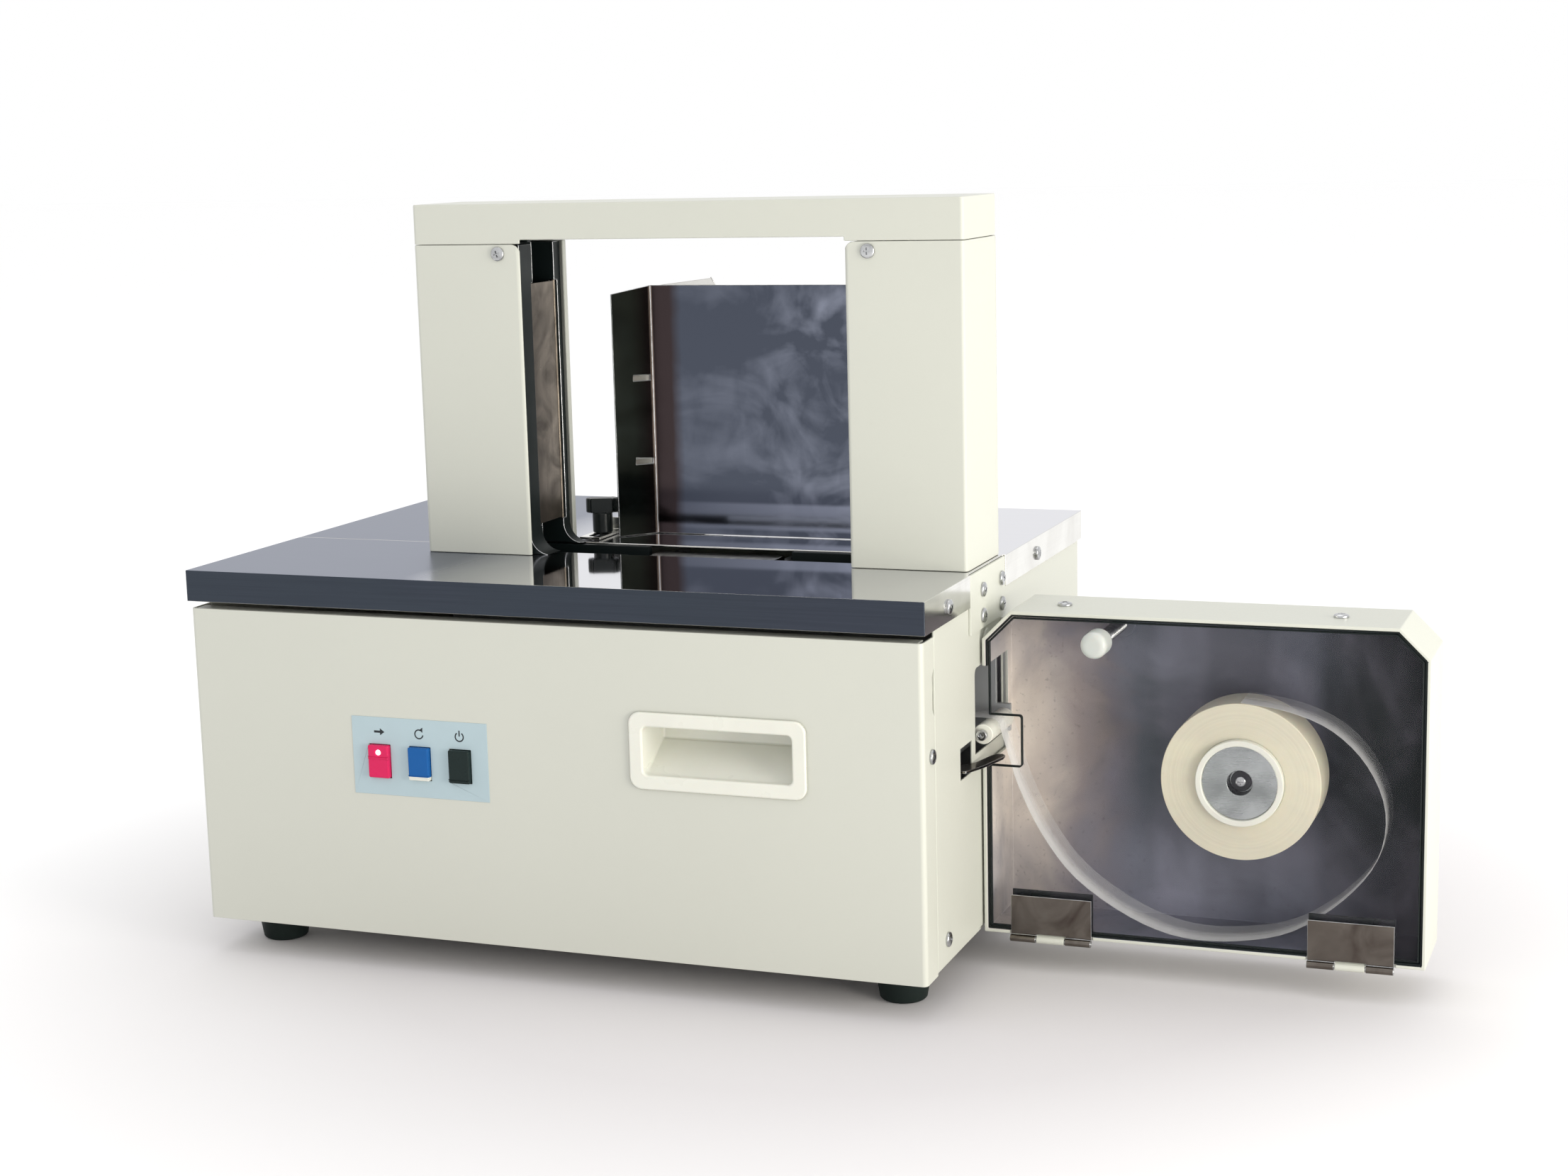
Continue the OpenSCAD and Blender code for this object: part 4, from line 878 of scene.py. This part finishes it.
@dataclass
class CrossScrew:
    """A pan-head screw with a cross recess, its head standing on the plane z = 0."""

    head_radius: float = 4.2 * MM
    head_height: float = 2.2 * MM
    shank_radius: float = 2.0 * MM
    shank_length: float = 6.0 * MM
    slot_length: float = 4.6 * MM
    slot_width: float = 0.95 * MM
    slot_depth: float = 1.3 * MM
    tip_chamfer: float = 0.4 * MM
    dome_steps: int = 7
    crease_deg: float = 38.0

    def profile(self) -> List[Tuple[float, float]]:
        """Outline of half the screw, from the top of the head down to the tip."""
        rim = 0.42 * self.head_height
        rise = self.head_height - rim
        dome = []
        for step in range(self.dome_steps + 1):
            turn = math.radians(90) * step / self.dome_steps
            dome.append((self.head_radius * math.sin(turn) ** 0.8, rim + rise * math.cos(turn)))
        tip = -self.shank_length
        return dome + [(self.head_radius, 0.15 * rim), (self.head_radius * 0.97, 0.0),
                       (self.shank_radius, 0.0), (self.shank_radius, tip + self.tip_chamfer),
                       (self.shank_radius * 0.8, tip), (0.0, tip)]

    def mesh(self) -> Mesh:
        """The finished screw."""
        head = lathe(self.profile())
        for length, width in ((self.slot_length, self.slot_width), (self.slot_width, self.slot_length)):
            head = cut_with(head, self.arm(length, width))
        return shaded(head, self.crease_deg)

    def arm(self, length: float, width: float) -> Mesh:
        """One tapered arm of the recess."""
        work = bmesh.new()
        bmesh.ops.create_cube(work, size=1.0)
        for vert in work.verts:
            below = vert.co.z < 0
            narrow = 0.7 if below else 1.0
            height = self.head_height - self.slot_depth if below else self.head_height + 1.0 * MM
            vert.co = Vector((vert.co.x * length * narrow, vert.co.y * width * narrow, height))
        return mesh_from("arm", work)

    def at_each(self, node: str) -> Mesh:
        """One mesh with a screw in each seat of a node's screws, each turned differently."""
        template = self.mesh()
        parts = []
        for index, points in enumerate(sorted(islands_of(node), key=lambda group: tuple(group[0]))):
            low, high = span_of(points)
            middle = (low + high) / 2
            lean = sum(points, Vector()) / len(points) - middle
            main = max(range(3), key=lambda axis: abs(lean[axis]))
            outward = Vector()
            outward[main] = math.copysign(1.0, lean[main])
            top = middle + outward * (high - low)[main] / 2
            seat = top - outward * self.head_height
            spin = Matrix.Rotation(math.radians(37.0 * index + 12.0), 4, "Z")
            parts.append((template, Matrix.Translation(seat) @ towards(outward) @ spin))
        return shaded(joined(node + "_mesh", parts), self.crease_deg)


# ---------------------------------------------------------------- the machine
@dataclass
class Cabinet:
    """Folded sheet cabinet with its handle, feet and screws."""

    finishes: Finishes
    sheet_edge_mm: float = 0.35
    handle_edge_mm: float = 1.3
    foot_edge_mm: float = 1.2

    def build(self) -> None:
        """Builds every piece of the cabinet."""
        look = self.finishes
        for node in ("front_panel", "cabinet_shell", "base_pan", "arch_mount_plate"):
            rounded(node, self.sheet_edge_mm, [look.cream])
        rounded("flush_handle", self.handle_edge_mm, [look.white], segments=4)
        rounded("feet", self.foot_edge_mm, [look.rubber], segments=4)
        dress("foot_screws", look.bright)
        screws = CrossScrew().at_each("cover_screws")
        placed("cross_screws", screws, [look.bright], "cover_screws", True)


@dataclass
class Controls:
    """Push buttons, their housings and the decal with its printed signs."""

    finishes: Finishes
    cap_edge_mm: float = 0.9
    sign_size: float = 6.4 * MM
    sign_rise: float = 7.6 * MM
    ink_thickness: float = 0.04 * MM
    groove_width: float = 0.5 * MM
    groove_depth: float = 0.35 * MM

    def build(self) -> None:
        """Builds the buttons and the decal."""
        look = self.finishes
        rounded("control_decal", 0.1, [look.decal], segments=1)
        self.cap("feed_button", look.red, look.red, 0.62)
        self.cap("reset_button", look.blue, look.white, 0.12)
        self.cap("start_button", look.black_cap, look.black_cap, 0.08)
        dress("button_housings", look.black)
        rounded("feed_lamp", 0.4, [look.lens])
        self.signs()

    def cap(self, node: str, upper: Material, lower: Material, share: float) -> None:
        """Builds a cap with a groove across its face.

        Args:
            node: The button's node.
            upper: Finish above the groove.
            lower: Finish below it.
            share: Height of the groove as a share of the cap's height.
        """
        low, high = corners(node)
        level = low.z + (high.z - low.z) * share
        work = welded(node)
        for offset in (-self.groove_width / 2, 0.0, self.groove_width / 2):
            whole = work.verts[:] + work.edges[:] + work.faces[:]
            bmesh.ops.bisect_plane(work, geom=whole, plane_co=(0, 0, level + offset), plane_no=(0, 0, 1))
        for vert in work.verts:
            if vert.co.y < low.y + 0.05 * MM and abs(vert.co.z - level) < self.groove_width / 4:
                vert.co.y += self.groove_depth
        for face in work.faces:
            face.material_index = 1 if face.calc_center_median().z < level else 0
        shape = finished(mesh_from(node + "_cap", work), [upper, lower])
        mesh = softened(shape, self.cap_edge_mm * MM, 4, -1, 60.0)
        placed(node + "_piece", mesh, [upper, lower], node, True)

    def signs(self) -> None:
        """Prints a generic sign above each button: an arrow, a loop and a ring with a bar."""
        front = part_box("control_decal")[0][1]
        makers = {"feed_button": self.arrow, "reset_button": self.loop, "start_button": self.power_ring}
        parts = []
        for node, maker in makers.items():
            middle = middle_of(node)
            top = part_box(node)[1][2]
            origin = Vector((middle.x, 0.0, top + self.sign_rise))
            for outline in maker():
                points = [(origin.x + x * self.sign_size, origin.z + z * self.sign_size) for x, z in outline]
                parts.append((extruded(points, front - self.ink_thickness, self.ink_thickness * 1.5),
                              Matrix.Identity(4)))
        placed("decal_signs", joined("decal_signs", parts), [self.finishes.ink], "control_decal", False)

    def arrow(self) -> List[Points]:
        """Outline of a plain arrow to the right."""
        return [[(-0.5, -0.1), (0.1, -0.1), (0.1, -0.32), (0.55, 0.0), (0.1, 0.32), (0.1, 0.1), (-0.5, 0.1)]]

    def arc(self, start_deg: float, end_deg: float, inner: float = 0.34, outer: float = 0.46) -> Points:
        """Outline of a bent bar round the sign's middle."""
        steps = 24
        turns = [math.radians(start_deg + (end_deg - start_deg) * step / steps) for step in range(steps + 1)]
        outside = [(outer * math.cos(turn), outer * math.sin(turn)) for turn in turns]
        inside = [(inner * math.cos(turn), inner * math.sin(turn)) for turn in reversed(turns)]
        return outside + inside

    def loop(self) -> List[Points]:
        """Outlines of a loop arrow."""
        return [self.arc(60.0, 350.0), [(0.06, 0.4), (0.38, 0.64), (0.36, 0.16)]]

    def power_ring(self) -> List[Points]:
        """Outlines of an open ring with a bar."""
        bar = [(-0.06, 0.05), (0.06, 0.05), (0.06, 0.58), (-0.06, 0.58)]
        return [self.arc(125.0, 415.0), bar]


@dataclass
class Worktop:
    """Steel worktop in two folded trays, its front skirt painted dark (painted shade) and its other sides
    painted bright (painted light).
    """

    finishes: Finishes
    edge_mm: float = 0.45

    def build(self) -> None:
        """Builds both trays."""
        look = self.finishes
        front_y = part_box("worktop_front")[0][1] + 2 * MM

        def slot(middle: Vector, normal: Vector) -> int:
            """The top, the front skirt with painted shade, or another side with painted light."""
            if normal.z > 0.5:
                return 0
            return 1 if middle.y < front_y else 2

        for node in ("worktop_front", "worktop_rear"):
            rounded(node, self.edge_mm, [look.top, look.skirt_shade, look.skirt_side_lit], faces=slot)


@dataclass
class TapeArch:
    """Arch covers, tape tracks and gates."""

    finishes: Finishes
    sheet_edge_mm: float = 0.45

    def build(self) -> None:
        """Builds every piece of the arch."""
        look = self.finishes
        for node in ("column_left_cover", "column_right_cover", "column_left_back", "column_right_back"):
            rounded(node, self.sheet_edge_mm, [look.cream])
        rounded("beam_cover", 0.6, [look.cream])
        dress("arch_frame", look.grey_coat)
        for node in ("track_left", "track_right"):
            # The tracks' rounded edges take bright zinc steel: painted highlights on the black moulding.
            rounded(node, 0.35, [look.black, look.bright], edge_slot=1, segments=2)
        rounded("track_top", 0.4, [look.black])
        rounded("slot_guides", 0.35, [look.black])
        for node in ("gate_left", "gate_right"):
            rounded(node, 0.15, [look.spring], segments=2)


@dataclass
class Backstop:
    """Polished plate on a slotted foot with its clamp knob."""

    finishes: Finishes
    wing_width: float = 17.9 * MM

    def build(self) -> None:
        """Builds the backstop."""
        look = self.finishes
        low, _ = corners("backstop_plate")
        fold_x = low.x + self.wing_width
        mirror = StainedMirror("backstop_steel", fold_x, low.z).make()
        # The plate's rounded edges take bright zinc steel: a painted highlight along every edge.
        rounded("backstop_plate", 0.3, [mirror, look.bright], edge_slot=1)
        # The foot takes the side skirts' bright copy of the steel, which is painted light.
        rounded("backstop_foot", 0.3, [look.skirt_side_lit])
        rounded("clamp_knob", 0.8, [look.knob_black], segments=4)


@dataclass
class Dispenser:
    """Side tape dispenser with its smoked door."""

    finishes: Finishes
    spring_wire: float = 0.45 * MM
    spring_pitch: float = 2.0 * MM
    dome_reach: float = 4.6 * MM
    spring_gap: float = 0.15 * MM
    spring_ends: Tuple[float, float] = (7.0 * MM, 3.5 * MM)
    spring_steps: int = 14
    # leaf_rise lifts the black leaves into the shadow above the clips, which is partly painted shade.
    leaf_rise: float = 2.6 * MM
    leaf_thickness: float = 1.2 * MM
    wall_reach: float = 0.5 * MM
    rim_reach: float = 16.0 * MM

    def build(self) -> None:
        """Builds the dispenser."""
        look = self.finishes
        low, high = corners("door_seal")
        centre = (low + high) / 2
        reach = (high - low) / 2

        def slot(middle: Vector, normal: Vector) -> int:
            """The tray's inside or its outside."""
            offset = middle - centre
            if middle.y < low.y or normal.y > 0.5:
                return 0
            beyond = max(abs(offset.x) - reach.x, abs(offset.z) - reach.z)
            if beyond > self.wall_reach:
                return 0
            if normal.y < -0.5 or beyond < -self.rim_reach:
                return 1
            return 1 if offset.x * normal.x + offset.z * normal.z < 0 else 0

        # The tray's inside takes painted shade and painted reflections in place of the cream coat.
        inside = TrayInsidePaintedShade("tray_inside_painted_shade", low.x, high.x, low.z, high.z - low.z).make()
        rounded("dispenser_frame", 0.5, [look.cream, inside], faces=slot)
        rounded("dispenser_door", 0.9, [look.smoked, look.black], edge_slot=1)
        rounded("door_seal", 0.2, [look.black])
        # The clips' rounded edges take bright zinc steel: a painted highlight round each rim.
        rounded("hinge_clips", 0.25, [look.clip, look.bright], edge_slot=1)
        self.inner_leaves_and_shade()
        dress("hinge_pins", look.bright)
        self.knob()
        rounded("latch_post", 0.3, [look.bright])
        self.latch_spring()

    def inner_leaves_and_shade(self) -> None:
        """Adds each clip's dark inner leaf, which grips the door from behind. It is black and raised to fill
        the dark shadow above the clips, so it is partly painted shade.
        """
        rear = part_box("dispenser_door")[1][1] + 0.1 * MM
        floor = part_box("door_seal")[0][2] + 0.6 * MM
        parts = []
        for points in islands_of("hinge_clips"):
            low, high = span_of(points)
            top = Vector((high.x, rear + self.leaf_thickness, high.z + self.leaf_rise))
            leaf = block(Vector((low.x, rear, floor)), top)
            parts.append((softened(leaf, 0.4 * MM), Matrix.Identity(4)))
        placed("inner_leaves_and_shade", shaded(joined("inner_leaves_and_shade", parts)), [self.finishes.knob_black],
               "hinge_clips", False)

    def knob(self) -> None:
        """Turns the pull knob with its domed end, and keeps its CAD bore."""
        low, high = corners("door_knob")
        middle = (low + high) / 2
        work = welded("door_knob")
        radius = (high.x - low.x) / 2
        rim = [edge for edge in work.edges if all(
            vert.co.y < low.y + 0.05 * MM and (vert.co.xz - middle.xz).length > radius - 0.3 * MM
            for vert in edge.verts)]
        bmesh.ops.bevel(work, geom=rim, offset=self.dome_reach, segments=9, profile=0.6, affect="EDGES")
        mesh = softened(finished(mesh_from("knob_shape", work), [self.finishes.knob_white]), 0.3 * MM, 2)
        placed("door_knob_piece", mesh, [self.finishes.knob_white], "door_knob", True)

    def latch_spring(self) -> None:
        """Winds the spring round the latch post, behind the door."""
        low, high = corners("latch_post")
        middle = middle_of("latch_post")
        radius = (high.x - low.x) / 2 + self.spring_wire + self.spring_gap
        start = low.y + self.spring_ends[0]
        end = high.y - self.spring_ends[1]
        count = int((end - start) / self.spring_pitch)
        steps = count * self.spring_steps
        route = []
        for step in range(steps + 1):
            turn = math.tau * count * step / steps
            route.append(Vector((middle.x + radius * math.cos(turn), start + (end - start) * step / steps,
                                 middle.z + radius * math.sin(turn))))
        placed("latch_spring", shaded(tube(route, self.spring_wire, 8), 60.0), [self.finishes.bright],
               "latch_post", False)


@dataclass
class TapeRoll:
    """Tape roll on its core, hub and spindle, and the loose web."""

    finishes: Finishes
    tape_code: str = "DDD7C1"

    def build(self) -> None:
        """Builds the roll and the web."""
        look = self.finishes
        centre = middle_of("tape_roll")
        wound = WoundTape("wound_tape", self.tape_code, centre.x, centre.z).make()
        rounded("tape_roll", 0.5, [wound])
        rounded("roll_core", 0.6, [look.white])
        rounded("roll_hub", 0.4, [look.hub])
        self.spindle()
        low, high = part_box("tape_web")
        dress("tape_web", TapeFilm("tape_film", "FFFFFF", 0.12, low[1], high[1] - low[1]).make())

    def spindle(self) -> None:
        """Builds the dark spindle with its small cross screw, deep in the hub."""
        look = self.finishes
        low, _ = corners("roll_spindle")
        middle = middle_of("roll_spindle")
        rounded("roll_spindle", 0.5, [look.knob_black])
        screw = CrossScrew(head_radius=3.0 * MM, head_height=1.7 * MM, shank_radius=1.4 * MM,
                           shank_length=2.0 * MM, slot_length=3.7 * MM, slot_width=0.75 * MM,
                           slot_depth=1.0 * MM)
        matrix = Matrix.Translation((middle.x, low.y, middle.z)) @ towards(Vector((0, -1, 0)))
        mesh = shaded(joined("spindle_screw", [(screw.mesh(), matrix)]), screw.crease_deg)
        placed("spindle_screw", mesh, [look.bright], "roll_spindle", False)


@dataclass
class TapeFeed:
    """Idler, release lever, nip rollers, bracket and motor."""

    finishes: Finishes

    def build(self) -> None:
        """Builds the tape feed."""
        look = self.finishes
        round_each(("idler_roller", 0.5, look.white), ("idler_axle", 0.35, look.bright))
        # The lever's rounded edges take bright zinc steel: a painted highlight round its rim.
        rounded("release_lever", 0.35, [look.clip, look.bright], edge_slot=1)
        round_each(("pinch_roller", 0.4, look.roller), ("drive_roller", 0.4, look.roller),
                   ("feed_bracket", 0.3, look.grey_coat), ("feed_motor", 0.8, look.motor_coat))


@dataclass
class SealingHead:
    """Head frame, cam shaft, gearmotor, blades and anvil."""

    finishes: Finishes

    def build(self) -> None:
        """Builds the sealing head."""
        look = self.finishes
        round_each(("head_frame", 0.3, look.grey_coat), ("cam_shaft", 0.4, look.bright),
                   ("cam_motor", 0.8, look.motor_coat), ("heater_blade", 0.25, look.brass),
                   ("cutter_blade", 0.15, look.bright), ("seal_anvil", 0.3, look.bright))


@dataclass
class Electrics:
    """Control board, power supply, inlet and rocker."""

    finishes: Finishes
    pin_size: Triple = (2.0 * MM, 11.0 * MM, 4.0 * MM)
    pin_spread: float = 7.0 * MM
    pin_offset: float = 2.0 * MM
    socket_in: float = 18.5 * MM
    socket_depth: float = 17.0 * MM

    def build(self) -> None:
        """Builds the electrics."""
        look = self.finishes
        round_each(("control_board", 0.25, look.board), ("power_supply", 0.6, look.supply),
                   ("power_inlet", 0.5, look.black), ("power_rocker", 0.5, look.red))
        self.pins()

    def pins(self) -> None:
        """Stands three contact pins in the inlet's socket."""
        low, high = corners("power_inlet")
        socket_x = low.x + self.socket_in
        middle_z = (low.z + high.z) / 2
        root = high.y - self.socket_depth
        size = Vector(self.pin_size)
        parts = []
        for side, lift in ((-1, -1), (0, 1), (1, -1)):
            along, up = side * self.pin_spread, lift * self.pin_offset
            low_corner = Vector((socket_x + along - size.x / 2, root, middle_z + up - size.z / 2))
            parts.append((softened(block(low_corner, low_corner + size), 0.4 * MM), Matrix.Identity(4)))
        placed("inlet_pins", shaded(joined("inlet_pins", parts)), [self.finishes.brass], "power_inlet", False)


# ---------------------------------------------------------------- studio
@dataclass
class Studio:
    """Camera, pale floor and soft lights."""

    eye: Vector = field(default_factory=lambda: Vector((0.5011, -1.4071, 0.4723)))
    azimuth_deg: float = -20.956
    elevation_deg: float = -10.067
    roll_deg: float = -1.423
    lens_mm: float = 58.12
    floor_size: float = 40.0

    def camera(self) -> None:
        """Makes the camera that the scene renders through."""
        azimuth = math.radians(self.azimuth_deg)
        elevation = math.radians(self.elevation_deg)
        roll = math.radians(self.roll_deg)
        ahead = Vector((math.sin(azimuth) * math.cos(elevation), math.cos(azimuth) * math.cos(elevation),
                        math.sin(elevation)))
        side = ahead.cross(Vector((0, 0, 1))).normalized()
        up = side.cross(ahead)
        right = side * math.cos(roll) + up * math.sin(roll)
        top = up * math.cos(roll) - side * math.sin(roll)
        data = bpy.data.cameras.new("view")
        data.lens = self.lens_mm
        data.sensor_width = 36.0
        camera = bpy.data.objects.new("view", data)
        bpy.context.scene.collection.objects.link(camera)
        camera.matrix_world = Matrix((
            (right.x, top.x, -ahead.x, self.eye.x),
            (right.y, top.y, -ahead.y, self.eye.y),
            (right.z, top.z, -ahead.z, self.eye.z),
            (0.0, 0.0, 0.0, 1.0)))
        bpy.context.scene.camera = camera

    def floor(self) -> None:
        """Lays the floor that the machine stands on."""
        work = bmesh.new()
        bmesh.ops.create_grid(work, x_segments=1, y_segments=1, size=self.floor_size / 2)
        mesh = mesh_from("floor", work)
        mesh.materials.append(PaleFloor("floor_white", "FFFFFF").make())
        floor = bpy.data.objects.new("floor", mesh)
        bpy.context.scene.collection.objects.link(floor)

    def softbox(self, name: str, place: Points, aim: Points, size: float, power: float, code: str) -> None:
        """Hangs one square soft light.

        Args:
            name: The light's name.
            place: Where it hangs.
            aim: The point that it faces.
            size: Its width.
            power: Its power in watts.
            code: Its colour.
        """
        data = bpy.data.lights.new(name, "AREA")
        data.size = size
        data.energy = power
        data.color = colour_of(code)[:3]
        lamp = bpy.data.objects.new(name, data)
        bpy.context.scene.collection.objects.link(lamp)
        turn = (Vector(aim) - Vector(place)).to_track_quat("-Z", "Y").to_matrix().to_4x4()
        lamp.matrix_world = Matrix.Translation(place) @ turn

    def sky(self) -> None:
        """Surrounds the machine with even white light."""
        world = bpy.data.worlds.new("pale_room")
        world.use_nodes = True
        background = world.node_tree.nodes["Background"]
        background.inputs["Color"].default_value = (1.0, 1.0, 1.0, 1.0)
        background.inputs["Strength"].default_value = 1.0
        bpy.context.scene.world = world

    def build(self) -> None:
        """Sets up the studio."""
        self.floor()
        self.sky()
        self.softbox("key", (3.7, -0.95, 0.8), (0.1, -0.1, 0.12), 2.0, 74.0, "FFFBF0")
        self.softbox("fill", (0.95, -0.62, 0.16), (0.1, -0.11, 0.1), 0.3, 3.4, "FFFBF0")
        self.softbox("top", (-0.2, 0.4, 2.4), (0.0, 0.1, 0.0), 1.6, 8.0, "FFFFFF")
        bpy.context.scene.view_settings.view_transform = "Standard"


def write_size() -> None:
    """Brings the scene's placements up to date."""
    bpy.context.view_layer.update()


def main() -> None:
    """Builds the studio and every sub-assembly of the machine."""
    logging.basicConfig(level=logging.INFO, format="%(message)s")
    studio = Studio()
    studio.camera()
    finishes = Finishes()
    for assembly in (Cabinet, Controls, Worktop, TapeArch, Backstop, Dispenser, TapeRoll, TapeFeed,
                     SealingHead, Electrics):
        LOG.info("building %s", assembly.__name__)
        assembly(finishes).build()
    studio.build()
    write_size()


if __name__ == "__main__":
    main()
